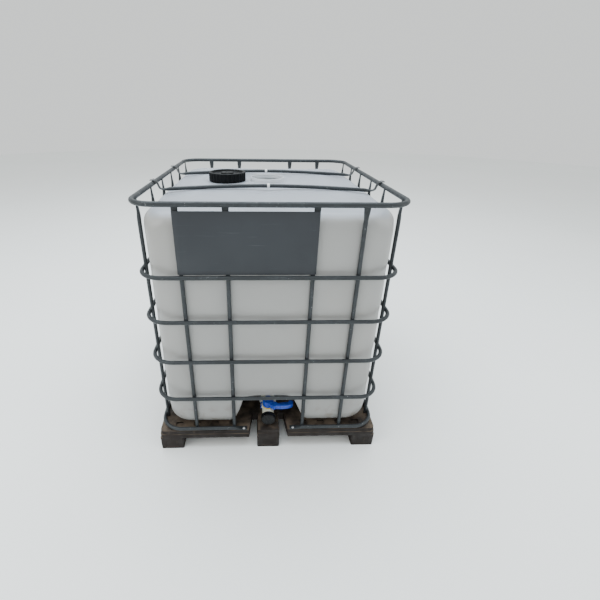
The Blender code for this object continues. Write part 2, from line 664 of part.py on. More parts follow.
def make_latch():
    """The flat hooked catch beside the hub, low enough for the lever to swing over it."""
    low, high = BOSS_TOP, LEVER_LOW - 2 * CLEARANCE
    outline = [
        (-0.0290, -0.4950), (-0.0335, -0.4965), (-0.0355, -0.5030), (-0.0350, -0.5180), (-0.0365, -0.5300),
        (-0.0345, -0.5360), (-0.0320, -0.5350), (-0.0318, -0.5280), (-0.0290, -0.5230), (-0.0300, -0.5180),
        (-0.0305, -0.5060), (-0.0280, -0.5000),
    ]
    latch = piece("valve_latch", prism(outline, low, high), "blue_plastic", (*LATCH_PIVOT, VALVE_HEIGHT))
    pin = cylinder(0.0015, VALVE_HEIGHT + 0.015, low + 0.004, 8, LATCH_PIVOT)
    combine(latch, guide("latch_pin", pin), "UNION")


def make_dust_cap():
    grip = (0.0018, 14)
    rear = VALVE_FRONT + CAP_LENGTH
    shell = [
        (0.0140, VALVE_FRONT), (CAP_RADIUS - 0.004, VALVE_FRONT),
        (CAP_RADIUS - 0.001, VALVE_FRONT + 0.003, grip),
        (CAP_RADIUS - 0.001, rear - 0.005, grip), (CAP_RADIUS, rear - 0.005), (CAP_RADIUS, rear),
        (THREAD_RADIUS + CLEARANCE, rear - 0.0005), (THREAD_RADIUS + CLEARANCE, VALVE_FRONT + CAP_PLATE),
    ]
    pivot = (0.0, VALVE_FRONT, VALVE_HEIGHT)
    piece("dust_cap", turned(shell, 28, AXIS, "Y"), "black_plastic", pivot)
    low, high = VALVE_FRONT + CAP_PLATE + CLEARANCE, BODY_FRONT - CLEARANCE
    washer = [(0.0215, low), (0.0280, low), (0.0280, high), (0.0215, high)]
    piece("cap_gasket", turned(washer, 24, AXIS, "Y", wrap=True), "rubber", pivot)


def main():
    clear_scene()
    make_pallet()
    make_bottle()
    make_lid()
    make_rings()
    make_bottom_rail()
    make_uprights()
    make_crossbars()
    make_label_plate()
    make_valve_body()
    make_union_nut()
    make_butterfly()
    make_lever()
    make_latch()
    make_dust_cap()


main()
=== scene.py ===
"""The finished look of an intermediate bulk container: pallet, tube cage, plastic bottle, lid and valve.

Metres, +Z up, and the outlet valve faces -Y. The fixed frame gives the places, and each piece rides on
one of its bodies.
"""
from math import cos, pi, radians, sin

import bmesh
import bpy
import numpy as np
from mathutils import Matrix, Vector


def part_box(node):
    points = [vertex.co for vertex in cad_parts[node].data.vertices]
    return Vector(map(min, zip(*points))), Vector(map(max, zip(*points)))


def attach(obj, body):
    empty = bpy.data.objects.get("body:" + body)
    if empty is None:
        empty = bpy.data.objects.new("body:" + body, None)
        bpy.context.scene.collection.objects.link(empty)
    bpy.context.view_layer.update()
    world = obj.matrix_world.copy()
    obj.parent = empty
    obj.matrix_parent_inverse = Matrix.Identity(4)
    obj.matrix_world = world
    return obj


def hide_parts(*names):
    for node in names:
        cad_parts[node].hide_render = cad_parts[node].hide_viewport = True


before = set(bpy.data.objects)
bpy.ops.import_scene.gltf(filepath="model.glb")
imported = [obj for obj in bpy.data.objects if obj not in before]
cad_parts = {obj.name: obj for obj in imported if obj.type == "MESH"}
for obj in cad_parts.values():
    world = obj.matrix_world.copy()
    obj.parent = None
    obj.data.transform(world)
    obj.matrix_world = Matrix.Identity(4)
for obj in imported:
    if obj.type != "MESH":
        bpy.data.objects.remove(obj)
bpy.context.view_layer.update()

bl_info = {
    "name": "Bulk Container",
    "version": (1, 0, 0),
    "blender": (4, 5, 0),
    "location": "View3D > Sidebar > Container",
    "description": "Models an intermediate bulk container piece by piece on its fixed frame",
    "category": "Object",
}


# ---- places and sizes, from the frame where it holds them ----------------------------------------
def middle_of(node):
    low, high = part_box(node)
    return (low + high) / 2


def half_height(node):
    low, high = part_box(node)
    return (high.z - low.z) / 2


GAP = 0.0003
PALLET_LOW, PALLET_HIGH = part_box("pallet")
DECK_TOP = PALLET_HIGH.z
DECK_BOTTOM = 0.065
RING_RADIUS = half_height("cage_ring_1")
RING_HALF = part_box("cage_ring_1")[1] - Vector((RING_RADIUS, RING_RADIUS, 0))
RING_LEVELS = [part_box(f"cage_ring_{number}")[1].z - RING_RADIUS for number in (1, 2, 3, 4)]
RING_CORNER = 0.090
RIM_RADIUS = half_height("top_rim")
RIM_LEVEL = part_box("top_rim")[1].z - RIM_RADIUS
RIM_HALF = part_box("top_rim")[1] - Vector((RIM_RADIUS, RIM_RADIUS, 0))
BOTTLE_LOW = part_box("bottle")[0]
CONTACT = 0.0018
UPRIGHT_INSET = 0.0135
LID_CENTRE = middle_of("lid")
LID_LOW, LID_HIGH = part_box("lid")[0].z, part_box("lid")[1].z
VALVE_LEVEL = 0.150
STEM_Y = -0.512
VALVE_AXIS = (0.0, 0.0, VALVE_LEVEL)
CAP_FRONT, CAP_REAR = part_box("dust_cap")[0].y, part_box("dust_cap")[1].y
NUT_FRONT, NUT_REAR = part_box("union_nut")[0].y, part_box("union_nut")[1].y
BODY_FRONT, BODY_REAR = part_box("valve_body")[0].y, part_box("valve_body")[1].y


def length(name, text, default):
    return bpy.props.FloatProperty(name=name, description=text, default=default, unit="LENGTH")


def colour(name, text, default):
    return bpy.props.FloatVectorProperty(
        name=name, description=text, default=default, size=3, subtype="COLOR", min=0.0, max=1.0)


class ContainerSizes(bpy.types.PropertyGroup):
    """Sizes that change the character of the container and not its fit."""
    upright_width: length("Upright half width", "Half the width of an upright tube", 0.0080)
    upright_depth: length("Upright half depth", "Half the depth of an upright tube", 0.0075)
    wall: length("Bottle wall", "Thickness of the bottle's wall", 0.0030)
    grain: length("Bottle grain", "Size of the bottle's mesh cells", 0.0125)
    side_bulge: length("Side bulge", "How far the bottle swells between the side uprights", 0.0165)
    front_bulge: length("Front bulge", "How far the bottle swells between the front uprights", 0.0070)
    lid_rib: length("Lid rib", "Height of the ribs on the lid's rim", 0.0035)
    soft_edge: length("Soft edge", "Rounding of moulded edges", 0.0012)


class ContainerColours(bpy.types.PropertyGroup):
    """Base colours of the finishes."""
    pallet: colour("Pallet", "Moulded pallet plastic", (0.0095, 0.0070, 0.0060))
    dust: colour("Dust", "Dry dust lying on the pallet and the lid", (0.105, 0.080, 0.058))
    tube: colour("Tube", "Galvanised cage tube", (0.038, 0.043, 0.047))
    bottle: colour("Bottle", "Natural bottle plastic", (0.372, 0.376, 0.372))
    black: colour("Black", "Black plastic of the lid and caps", (0.0025, 0.0028, 0.0034))
    rubber: colour("Rubber", "Gaskets", (0.018, 0.018, 0.018))
    plate: colour("Plate", "Label plate", (0.040, 0.044, 0.050))
    zinc: colour("Zinc", "Bolts and screws", (0.620, 0.630, 0.640))
    band: colour("Band", "White bands on the crossbars", (0.800, 0.810, 0.810))
    valve: colour("Valve", "Cream plastic of the valve's tube", (0.790, 0.780, 0.640))
    nut: colour("Nut", "Milky plastic of the union nut", (0.780, 0.775, 0.680))
    blue: colour("Blue", "Lever and latch", (0.005, 0.042, 0.360))
    yellow: colour("Yellow", "Seal under the lever", (0.800, 0.600, 0.020))


# ---- selecting and editing -----------------------------------------------------------------------
def deselect_all():
    active = bpy.context.view_layer.objects.active
    if active and active.mode != "OBJECT":
        bpy.ops.object.mode_set(mode="OBJECT")
    bpy.ops.object.select_all(action="DESELECT")


def select_only(piece):
    deselect_all()
    piece.select_set(True)
    bpy.context.view_layer.objects.active = piece


def pick(piece, kind, test):
    """Opens the piece for editing with the verts, edges or faces selected that pass a test."""
    if piece.mode != "EDIT":
        select_only(piece)
        bpy.ops.object.mode_set(mode="EDIT")
    bpy.ops.mesh.select_mode(type=kind)
    bpy.ops.mesh.select_all(action="DESELECT")
    mesh = bmesh.from_edit_mesh(piece.data)
    for item in {"VERT": mesh.verts, "EDGE": mesh.edges, "FACE": mesh.faces}[kind]:
        if test(item):
            item.select_set(True)
    bmesh.update_edit_mesh(piece.data)


def pick_all(piece, kind="EDGE"):
    pick(piece, kind, lambda item: True)


def close_edit(piece):
    select_only(piece)


def added(name):
    """Names the primitive just added and moves its place into its mesh."""
    piece = bpy.context.view_layer.objects.active
    piece.name = name
    piece.data.name = name
    bpy.ops.object.transform_apply(location=True, rotation=True, scale=True)
    return piece


def coordinates(piece):
    points = np.empty(len(piece.data.vertices) * 3, np.float32)
    piece.data.vertices.foreach_get("co", points)
    return points.reshape(-1, 3).astype(float)


def set_coordinates(piece, points):
    piece.data.vertices.foreach_set("co", points.astype(np.float32).ravel())
    piece.data.update()


def normals(piece):
    ways = np.empty(len(piece.data.vertices) * 3, np.float32)
    piece.data.vertices.foreach_get("normal", ways)
    return ways.reshape(-1, 3).astype(float)


def face_outwards(piece, merge=0.00001):
    pick_all(piece, "VERT")
    bpy.ops.mesh.remove_doubles(threshold=merge)
    bpy.ops.mesh.select_all(action="SELECT")
    bpy.ops.mesh.normals_make_consistent(inside=False)
    close_edit(piece)


def apply_modifier(piece, kind, **settings):
    select_only(piece)
    bpy.ops.object.modifier_add(type=kind)
    modifier = piece.modifiers[-1]
    for name, value in settings.items():
        setattr(modifier, name, value)
    bpy.ops.object.modifier_apply(modifier=modifier.name)


def combine(piece, tool, operation):
    apply_modifier(piece, "BOOLEAN", operation=operation, solver="EXACT", object=tool)
    bpy.data.objects.remove(tool, do_unlink=True)


def soften(piece, width, segments=2, angle=30):
    apply_modifier(piece, "BEVEL", width=width, segments=segments, limit_method="ANGLE",
                   angle_limit=radians(angle), use_clamp_overlap=True)


def copy_of(piece, name, turn=0.0, shift=(0.0, 0.0, 0.0)):
    """A copy with its own mesh, turned about the upright axis through the origin, then shifted."""
    select_only(piece)
    bpy.ops.object.duplicate()
    twin = bpy.context.view_layer.objects.active
    twin.name = name
    twin.data.name = name
    twin.rotation_euler = (0.0, 0.0, turn)
    twin.location = shift
    bpy.ops.object.transform_apply(location=True, rotation=True, scale=True)
    return twin


def join(pieces):
    select_only(pieces[0])
    for piece in pieces[1:]:
        piece.select_set(True)
    bpy.ops.object.join()
    return pieces[0]


def dress(piece, slot, body, *nodes, angle=38, finish=None):
    """Gives a finished piece its material, its body and the CAD nodes that it stands for."""
    select_only(piece)
    bpy.ops.object.shade_smooth_by_angle(angle=radians(angle))
    piece.data.materials.clear()
    piece.data.materials.append(finishes()[finish or slot])
    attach(piece, body)
    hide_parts(*nodes)


def dress_copies(first, kind, count, slot):
    """Copies a first piece to the places of its kind's numbered nodes, and dresses them all."""
    start = middle_of(f"{kind}_1")
    for number in range(1, count + 1):
        shift = middle_of(f"{kind}_{number}") - start
        piece = first
        if number > 1:
            piece = copy_of(first, f"{kind}_visual_{number}", 0.0, (shift.x, shift.y, 0.0))
        dress(piece, slot, "container", f"{kind}_{number}")


# ---- shapes --------------------------------------------------------------------------------------
def ease(value):
    """0 below 0, 1 above 1 and a smooth step between."""
    value = np.clip(value, 0.0, 1.0)
    return value * value * (3.0 - 2.0 * value)


def curve_through(rows, steps, closed=False):
    """Rows of numbers joined by a smooth curve, with a number of steps to each span."""
    rows = np.array(rows, float)
    count = len(rows)
    result = []
    for span in range(count if closed else count - 1):
        places = [span + offset for offset in (-1, 0, 1, 2)]
        if closed:
            before, start, end, after = (rows[place % count] for place in places)
        else:
            before, start, end, after = (rows[min(max(place, 0), count - 1)] for place in places)
        for step in range(steps):
            t = step / steps
            result.append(0.5 * (2 * start + (end - before) * t
                                 + (2 * before - 5 * start + 4 * end - after) * t * t
                                 + (3 * start - before - 3 * end + after) * t ** 3))
    if not closed:
        result.append(rows[-1])
    return np.array(result)


def rounded(corners, fillet=0.001, steps=3):
    """A closed outline with softened corners. A corner's third value is a fillet of its own."""
    points = []
    for index, corner in enumerate(corners):
        here = Vector(corner[:2])
        before = Vector(corners[index - 1][:2]) - here
        after = Vector(corners[(index + 1) % len(corners)][:2]) - here
        reach = min(corner[2] if len(corner) > 2 else fillet, before.length * 0.45, after.length * 0.45)
        if reach < 0.00005:
            points.append(here)
            continue
        start, end = here + before.normalized() * reach, here + after.normalized() * reach
        for step in range(steps + 1):
            t = step / steps
            points.append(start * (1 - t) ** 2 + here * 2 * t * (1 - t) + end * t * t)
    return points


def block(name, low, high):
    deselect_all()
    low, high = Vector(low), Vector(high)
    bpy.ops.mesh.primitive_cube_add(size=1.0, location=(low + high) / 2, scale=high - low)
    return added(name)


def wire(name, points):
    """A closed wire through points."""
    deselect_all()
    bpy.ops.mesh.primitive_circle_add(vertices=len(points), radius=1.0, fill_type="NOTHING")
    piece = added(name)
    set_coordinates(piece, np.array([tuple(point) for point in points], float))
    return piece


def drawn_out(name, points, shift):
    """A solid between a flat closed outline and the same outline shifted."""
    piece = wire(name, points)
    pick_all(piece)
    bpy.ops.mesh.edge_face_add()
    bpy.ops.mesh.extrude_region_move(TRANSFORM_OT_translate={"value": shift})
    face_outwards(piece)
    return piece


def prism(name, outline, low, high):
    """An upright solid with an outline of (x, y) points."""
    return drawn_out(name, [(x, y, low) for x, y in outline], (0.0, 0.0, high - low))


def turned(name, profile, centre, axis="Z", steps=64):
    """A solid of revolution from a closed profile of (radius, level) points."""
    if axis == "Z":
        points = [(centre[0] + radius, centre[1], level) for radius, level in profile]
    elif axis == "Y":
        points = [(centre[0] + radius, level, centre[2]) for radius, level in profile]
    else:
        points = [(level, centre[1] + radius, centre[2]) for radius, level in profile]
    piece = wire(name, points)
    pick_all(piece)
    way = [float(letter == axis) for letter in "XYZ"]
    bpy.ops.mesh.spin(steps=steps, angle=2 * pi, center=centre, axis=way)
    face_outwards(piece)
    return piece


def sink_wall(piece, centre, axis, outside, depth):
    """Sinks a turned piece's outer wall by depth(turn, level) wherever its radius is over a limit."""
    points = coordinates(piece)
    second = 1 if axis == "Z" else 2
    level = points[:, 3 - second]
    across, up = points[:, 0] - centre[0], points[:, second] - centre[second]
    radius, turn = np.hypot(across, up), np.arctan2(up, across)
    scale = np.where(radius > outside, 1.0 - depth(turn, level) / np.maximum(radius, 0.001), 1.0)
    points[:, 0] = centre[0] + across * scale
    points[:, second] = centre[second] + up * scale
    set_coordinates(piece, points)


MOST_CUTS = 100


def cut_lengthwise(piece, spans):
    """Cuts the long edges of an upright cylinder one metre high into equal spans, in one or two rounds."""
    rounds = -(-spans // MOST_CUTS)
    for cuts in (rounds, spans // rounds):
        shortest = 0.5 if cuts == rounds else 0.5 / rounds
        if cuts > 1:
            pick(piece, "EDGE", lambda edge: abs(edge.verts[0].co.z - edge.verts[1].co.z) > shortest)
            bpy.ops.mesh.subdivide(number_cuts=cuts - 1)
    close_edit(piece)


def evened(rows):
    """The stations with more put in the longest spans, until the spans fit a whole number of rounds."""
    rows = list(rows)
    rounds = -(-(len(rows) - 1) // MOST_CUTS)
    while (len(rows) - 1) % rounds:
        spans = [(Vector(after[0]) - Vector(before[0])).length for before, after in zip(rows, rows[1:])]
        longest = spans.index(max(spans))
        pair = rows[longest:longest + 2]
        rows.insert(longest + 1, tuple((before + after) / 2 for before, after in zip(*pair)))
    return rows


def tube(name, stations, closed=False, sides=16):
    """A tube through stations (centre, sideways unit, upward unit, half width, half height)."""
    deselect_all()
    bpy.ops.mesh.primitive_cylinder_add(
        vertices=sides, radius=1.0, depth=1.0, end_fill_type="NOTHING" if closed else "NGON")
    piece = added(name)
    rows = evened(stations + stations[:1] if closed else stations)
    cut_lengthwise(piece, len(rows) - 1)
    points = coordinates(piece)
    row = np.rint((points[:, 2] + 0.5) * (len(rows) - 1)).astype(int)
    centre, side, up = (np.array([tuple(station[k]) for station in rows], float)[row] for k in range(3))
    wide, high = (np.array([station[k] for station in rows], float)[row, None] for k in (3, 4))
    set_coordinates(piece, centre + side * wide * points[:, :1] + up * high * points[:, 1:2])
    face_outwards(piece)
    return piece


def loop_point(distance, half, corner):
    """Place and heading at a distance round a rounded rectangle, anticlockwise from mid front."""
    straight_x, straight_y, bend = 2 * (half[0] - corner), 2 * (half[1] - corner), pi / 2 * corner
    distance += straight_x / 2
    place, turn = Vector((-straight_x / 2, -half[1])), 0.0
    for straight in (straight_x, straight_y, straight_x, straight_y, straight_x):
        heading = Vector((cos(turn), sin(turn)))
        if distance <= straight:
            return place + heading * distance, turn
        distance -= straight
        centre = place + heading * straight + Vector((-sin(turn), cos(turn))) * corner
        if distance <= bend:
            swing = turn + distance / corner
            return centre + Vector((sin(swing), -cos(swing))) * corner, swing
        distance -= bend
        turn += pi / 2
        place = centre + Vector((sin(turn), -cos(turn))) * corner
    return place, turn


def loop_places(half, corner, marks, start=0.0, end=None, fine=0.0025):
    """Places and headings round a loop, close together at bends and near marks."""
    whole = 4 * (half[0] + half[1]) - (8 - 2 * pi) * corner
    end = whole if end is None else whole - end
    count = int((end - start) / fine)
    found = []
    for step in range(count if end == whole else count + 1):
        place, turn = loop_point(start + (end - start) * step / count, half, corner)
        near = min((place - mark).length for mark in marks) < 0.020
        bent = abs(sin(2 * turn)) > 0.0001
        if near or (bent and step % 2 == 0) or step % 16 == 0 or step == count:
            found.append((place, turn))
    return found


# ---- finishes ------------------------------------------------------------------------------------
class Finish:
    """A material with one shader, and short ways to add patterns that stay on the piece."""

    def __init__(self, name, base, roughness, metallic=0.0, **constants):
        self.material = bpy.data.materials.new(name)
        self.material.use_nodes = True
        self.nodes = self.material.node_tree.nodes
        self.links = self.material.node_tree.links
        self.shader = self.nodes["Principled BSDF"]
        self.shader.inputs["Base Color"].default_value = (*base, 1.0)
        self.shader.inputs["Roughness"].default_value = roughness
        self.shader.inputs["Metallic"].default_value = metallic
        for socket, value in constants.items():
            self.shader.inputs[socket.replace("_", " ")].default_value = value
        self.place = self.nodes.new("ShaderNodeTexCoord").outputs["Object"]

    def stretched(self, scale):
        """The piece's own coordinates, scaled along X, Y and Z."""
        node = self.nodes.new("ShaderNodeMapping")
        node.inputs["Scale"].default_value = scale
        self.links.new(self.place, node.inputs["Vector"])
        return node.outputs["Vector"]

    def noise(self, scale, detail=3.0, stretch=None):
        node = self.nodes.new("ShaderNodeTexNoise")
        node.inputs["Scale"].default_value = scale
        node.inputs["Detail"].default_value = detail
        self.links.new(self.stretched(stretch) if stretch else self.place, node.inputs["Vector"])
        return node.outputs["Fac"]

    def cells(self, scale):
        node = self.nodes.new("ShaderNodeTexVoronoi")
        node.inputs["Scale"].default_value = scale
        self.links.new(self.place, node.inputs["Vector"])
        spread = self.nodes.new("ShaderNodeSeparateColor")
        self.links.new(node.outputs["Color"], spread.inputs["Color"])
        return spread.outputs["Red"]

    def facing_up(self, low, high):
        """Grows from 0 to 1 as the surface turns from upright to level."""
        node = self.nodes.new("ShaderNodeSeparateXYZ")
        geometry = self.nodes.new("ShaderNodeNewGeometry")
        self.links.new(geometry.outputs["Normal"], node.inputs["Vector"])
        return self.between(node.outputs["Z"], low, high)

    def height(self, low, high):
        """Grows from 0 at the low height to 1 at the high one, which may be the lower of the two."""
        node = self.nodes.new("ShaderNodeSeparateXYZ")
        self.links.new(self.place, node.inputs["Vector"])
        return self.between(node.outputs["Z"], low, high)

    def from_axis(self, low, high):
        """Grows from 0 to 1 with the distance from the upright axis through the object's origin."""
        node = self.nodes.new("ShaderNodeVectorMath")
        node.operation = "LENGTH"
        self.links.new(self.stretched((1.0, 1.0, 0.0)), node.inputs[0])
        return self.between(node.outputs["Value"], low, high)

    def between(self, source, low, high, new_low=0.0, new_high=1.0):
        node = self.nodes.new("ShaderNodeMapRange")
        node.interpolation_type = "SMOOTHSTEP"
        limits = {"From Min": low, "From Max": high, "To Min": new_low, "To Max": new_high}
        for socket, value in limits.items():
            node.inputs[socket].default_value = value
        self.links.new(source, node.inputs["Value"])
        return node.outputs["Result"]

    def times(self, first, second):
        node = self.nodes.new("ShaderNodeMath")
        node.operation = "MULTIPLY"
        self.links.new(first, node.inputs[0])
        self.links.new(second, node.inputs[1])
        return node.outputs["Value"]

    def blend(self, share, first, second):
        """A colour from first to second. Each is a colour or the output of another blend."""
        node = self.nodes.new("ShaderNodeMix")
        node.data_type = "RGBA"
        self.links.new(share, node.inputs["Factor"])
        colour_a, colour_b, mixed = node.inputs[6], node.inputs[7], node.outputs[2]
        for socket, value in ((colour_a, first), (colour_b, second)):
            if isinstance(value, bpy.types.NodeSocket):
                self.links.new(value, socket)
            else:
                socket.default_value = (*value, 1.0)
        return mixed

    def paint(self, output):
        self.links.new(output, self.shader.inputs["Base Color"])

    def roughen(self, source, low, high, new_low, new_high):
        self.links.new(self.between(source, low, high, new_low, new_high), self.shader.inputs["Roughness"])

    def bump(self, *layers):
        """Bumps, each a height, a strength and a distance in metres, laid over one another."""
        under = None
        for height, strength, distance in layers:
            node = self.nodes.new("ShaderNodeBump")
            node.inputs["Strength"].default_value = strength
            node.inputs["Distance"].default_value = distance
            self.links.new(height, node.inputs["Height"])
            if under:
                self.links.new(under, node.inputs["Normal"])
            under = node.outputs["Normal"]
        self.links.new(under, self.shader.inputs["Normal"])


def shade(base, factor):
    return tuple(min(1.0, part * factor) for part in base)


def pallet_finish(colours):
    finish = Finish("pallet_plastic", colours.pallet, 0.62, Specular_IOR_Level=0.25)
    patches = finish.between(finish.noise(14.0, 6.0), 0.34, 0.66)
    dust = finish.times(finish.facing_up(0.3, 0.9), patches)
    stain = finish.between(finish.noise(5.0, 5.0), 0.35, 0.70)
    ground = finish.blend(stain, colours.pallet, shade(colours.pallet, 1.9))
    scuffs = finish.between(finish.noise(60.0, 4.0, (1.0, 1.0, 0.4)), 0.60, 0.74, 0.0, 0.55)
    ground = finish.blend(scuffs, ground, shade(colours.dust, 0.45))
    finish.paint(finish.blend(dust, ground, colours.dust))
    finish.roughen(finish.noise(22.0), 0.3, 0.7, 0.50, 0.80)
    finish.bump((finish.noise(9.0, 2.0), 0.30, 0.0020), (finish.noise(420.0, 2.0), 0.25, 0.0004))
    return finish.material


def tube_finish(colours):
    finish = Finish("galvanised_tube", colours.tube, 0.46, 0.35, Specular_IOR_Level=0.35)
    spangle = finish.between(finish.cells(150.0), 0.0, 1.0)
    dull = finish.between(finish.noise(7.0, 4.0), 0.36, 0.66)
    ground = finish.blend(spangle, shade(colours.tube, 0.86), shade(colours.tube, 1.16))
    spots = finish.between(finish.noise(95.0, 3.0), 0.66, 0.74, 0.0, 0.6)
    ground = finish.blend(spots, ground, (0.290, 0.300, 0.300))
    finish.paint(finish.blend(dull, ground, shade(colours.tube, 0.78)))
    finish.roughen(finish.noise(30.0, 4.0), 0.3, 0.7, 0.36, 0.56)
    finish.bump((finish.noise(180.0, 2.0), 0.22, 0.0006), (finish.noise(18.0, 2.0), 0.15, 0.0015))
    return finish.material


def bottle_finish(colours):
    finish = Finish("bottle_plastic", colours.bottle, 0.36, Subsurface_Weight=0.35, Subsurface_Scale=0.05,
                    Subsurface_Radius=(0.8, 0.9, 1.0), IOR=1.50)
    cloud = finish.between(finish.noise(2.6, 3.0, (1.0, 1.0, 0.5)), 0.32, 0.68)
    ground = finish.blend(cloud, shade(colours.bottle, 0.97), shade(colours.bottle, 1.03))
    warm = finish.between(finish.noise(1.7, 2.0), 0.42, 0.66, 0.0, 0.35)
    ground = finish.blend(warm, ground, (0.405, 0.392, 0.365))
    # Painted shade: the body is painted darker towards the bottom, where less of the overhead light reaches
    # it.
    ground = finish.blend(finish.height(0.75, 0.20), ground, shade(colours.bottle, 0.86))
    # Painted light: faces that look up are painted in the cool blue of the overhead light.
    ground = finish.blend(finish.facing_up(0.55, 0.95), ground, (0.350, 0.385, 0.440))
    # Painted light: the neck is painted lighter and bluer than the body, as the light from above makes it
    # look.
    neck = finish.times(finish.from_axis(0.090, 0.084), finish.height(1.120, 1.126))
    ground = finish.blend(neck, ground, (0.600, 0.640, 0.680))
    # Brownish specks that fade out above 0.30 m, so the lower body is speckled darker towards the bottom.
    specks = finish.between(finish.noise(26.0, 6.0), 0.48, 0.70)
    low_specks = finish.times(specks, finish.height(0.30, 0.11))
    finish.paint(finish.blend(low_specks, ground, (0.230, 0.215, 0.185)))
    finish.roughen(finish.noise(11.0, 4.0), 0.3, 0.7, 0.30, 0.46)
    finish.bump((finish.noise(6.5, 2.0), 0.35, 0.0040), (finish.noise(260.0, 2.0), 0.12, 0.0003))
    return finish.material


def black_finish(colours, name, roughness, dusty):
    finish = Finish(name, colours.black, roughness, Specular_IOR_Level=0.15 if dusty else 0.20)
    cloud = finish.between(finish.noise(30.0, 4.0), 0.35, 0.70)
    ground = finish.blend(cloud, colours.black, shade(colours.black, 1.7))
    if dusty:
        film = finish.between(finish.noise(42.0, 6.0), 0.36, 0.66, 0.0, 0.45)
        ground = finish.blend(finish.times(film, finish.facing_up(0.5, 0.95)), ground, (0.012, 0.015, 0.019))
    finish.paint(ground)
    finish.roughen(finish.noise(55.0), 0.3, 0.7, roughness * 0.85, roughness * 1.25)
    finish.bump((finish.noise(330.0, 2.0), 0.12, 0.0003))
    return finish.material


def plate_finish(colours):
    finish = Finish("plate_steel", colours.plate, 0.55, 0.0, Specular_IOR_Level=0.20)
    cloud = finish.between(finish.noise(3.0, 5.0), 0.35, 0.68)
    ground = finish.blend(cloud, shade(colours.plate, 0.92), shade(colours.plate, 1.10))
    scratches = finish.between(finish.noise(40.0, 5.0, (0.15, 1.0, 3.0)), 0.64, 0.74, 0.0, 0.35)
    finish.paint(finish.blend(scratches, ground, shade(colours.plate, 2.0)))
    finish.roughen(finish.noise(24.0, 4.0), 0.3, 0.7, 0.42, 0.60)
    finish.bump((finish.noise(4.0, 2.0), 0.25, 0.0030), (finish.noise(500.0, 2.0), 0.10, 0.0002))
    return finish.material


def metal_finish(name, base, roughness):
    finish = Finish(name, base, roughness, 1.0)
    cloud = finish.between(finish.noise(160.0, 4.0), 0.35, 0.68)
    finish.paint(finish.blend(cloud, shade(base, 0.75), base))
    finish.roughen(finish.noise(240.0), 0.3, 0.7, roughness * 0.8, roughness * 1.4)
    finish.bump((finish.noise(600.0, 2.0), 0.15, 0.0002))
    return finish.material


def moulded_finish(name, base, roughness, warm=None, glow=0.0, gloss=0.0):
    """Clean moulded plastic: a faint cloud in its colour, a fine skin, and light inside if it glows."""
    finish = Finish(name, base, roughness, Subsurface_Weight=glow, Subsurface_Scale=0.008,
                    Subsurface_Radius=(1.0, 0.9, 0.7), Coat_Weight=gloss)
    cloud = finish.between(finish.noise(38.0, 3.0), 0.35, 0.68)
    finish.paint(finish.blend(cloud, base, warm or shade(base, 1.25)))
    finish.roughen(finish.noise(70.0, 3.0), 0.3, 0.7, roughness * 0.85, roughness * 1.2)
    finish.bump((finish.noise(70.0, 2.0), 0.10, 0.0006), (finish.noise(700.0, 2.0), 0.10, 0.0001))
    return finish.material


def finishes():
    """All the materials by the name of the record's slot, made at the first call."""
    if not hasattr(finishes, "made"):
        colours = bpy.context.scene.container_colours
        finishes.made = {
            "pallet_plastic": pallet_finish(colours),
            "galvanised_tube": tube_finish(colours),
            "bottle_plastic": bottle_finish(colours),
            "black_plastic": black_finish(colours, "black_plastic", 0.48, dusty=True),
            "cap_plastic": black_finish(colours, "cap_plastic", 0.28, dusty=False),
            "rubber": moulded_finish("rubber", tuple(colours.rubber), 0.75),
            "plate_steel": plate_finish(colours),
            "zinc_fastener": metal_finish("zinc_fastener", tuple(colours.zinc), 0.34),
            "white_band": moulded_finish("white_band", tuple(colours.band), 0.50, (0.700, 0.700, 0.690)),
            "valve_plastic": moulded_finish("valve_plastic", tuple(colours.valve), 0.32, None, 0.25, 0.10),
            "nut_plastic": moulded_finish("nut_plastic", tuple(colours.nut), 0.36, None, 0.45),
            "blue_plastic": moulded_finish("blue_plastic", tuple(colours.blue), 0.30,
                                           (0.008, 0.060, 0.440), 0.0, 0.15),
            "yellow_plastic": moulded_finish("yellow_plastic", tuple(colours.yellow), 0.38),
        }
    return finishes.made


# ---- pallet --------------------------------------------------------------------------------------
SLOT_INNER, SLOT_REAR, SLOT_FRONT, SLOT_DEPTH = 0.048, 0.077, 0.089, 0.105
FOOT_HALF = Vector((0.0525, 0.0750))
FOOT_COLUMNS = (-0.4475, 0.0, 0.4475)
FOOT_ROWS = (-0.525, 0.0, 0.525)
POCKET_DEPTH = 0.007
BEYOND = 0.010


def bevel_edges(piece, test, offset, segments):
    pick(piece, "EDGE", test)
    bpy.ops.mesh.bevel(offset=offset, segments=segments, affect="EDGES", clamp_overlap=True)
    close_edit(piece)


def is_upright(edge):
    return abs(edge.verts[0].co.z - edge.verts[1].co.z) > 0.01


def many_blocks(name, boxes):
    """One object of many boxes, each a low and a high corner."""
    return join([block(name, low, high) for low, high in boxes])


def make_foot():
    """The front left foot's shape about the origin: tapered, with soft corners and a hollow sole."""
    foot = block("foot", (-FOOT_HALF.x, -FOOT_HALF.y, 0.0), (FOOT_HALF.x, FOOT_HALF.y, DECK_BOTTOM + 0.004))
    bevel_edges(foot, is_upright, 0.006, 3)
    points = coordinates(foot)
    taper = 1.0 - 0.015 * ease(1.0 - points[:, 2] / 0.065)
    points[:, 0] *= taper
    points[:, 1] *= taper
    set_coordinates(foot, points)
    pick(foot, "FACE", lambda face: face.normal.z < -0.9)
    bpy.ops.mesh.inset(thickness=0.0045, depth=0.0)
    bpy.ops.mesh.extrude_region_move(TRANSFORM_OT_translate={"value": (0.0, 0.0, 0.045)})
    face_outwards(foot)
    rib = block("foot_rib", (-0.0025, -0.070, 0.002), (0.0025, 0.070, 0.048))
    combine(foot, rib, "UNION")
    for side in (-1, 1):
        groove = block("foot_groove", (-0.030, side * FOOT_HALF.y - 0.002, 0.010),
                       (0.030, side * FOOT_HALF.y + 0.002, 0.052))
        bevel_edges(groove, lambda edge: True, 0.0015, 1)
        combine(foot, groove, "DIFFERENCE")
    return foot


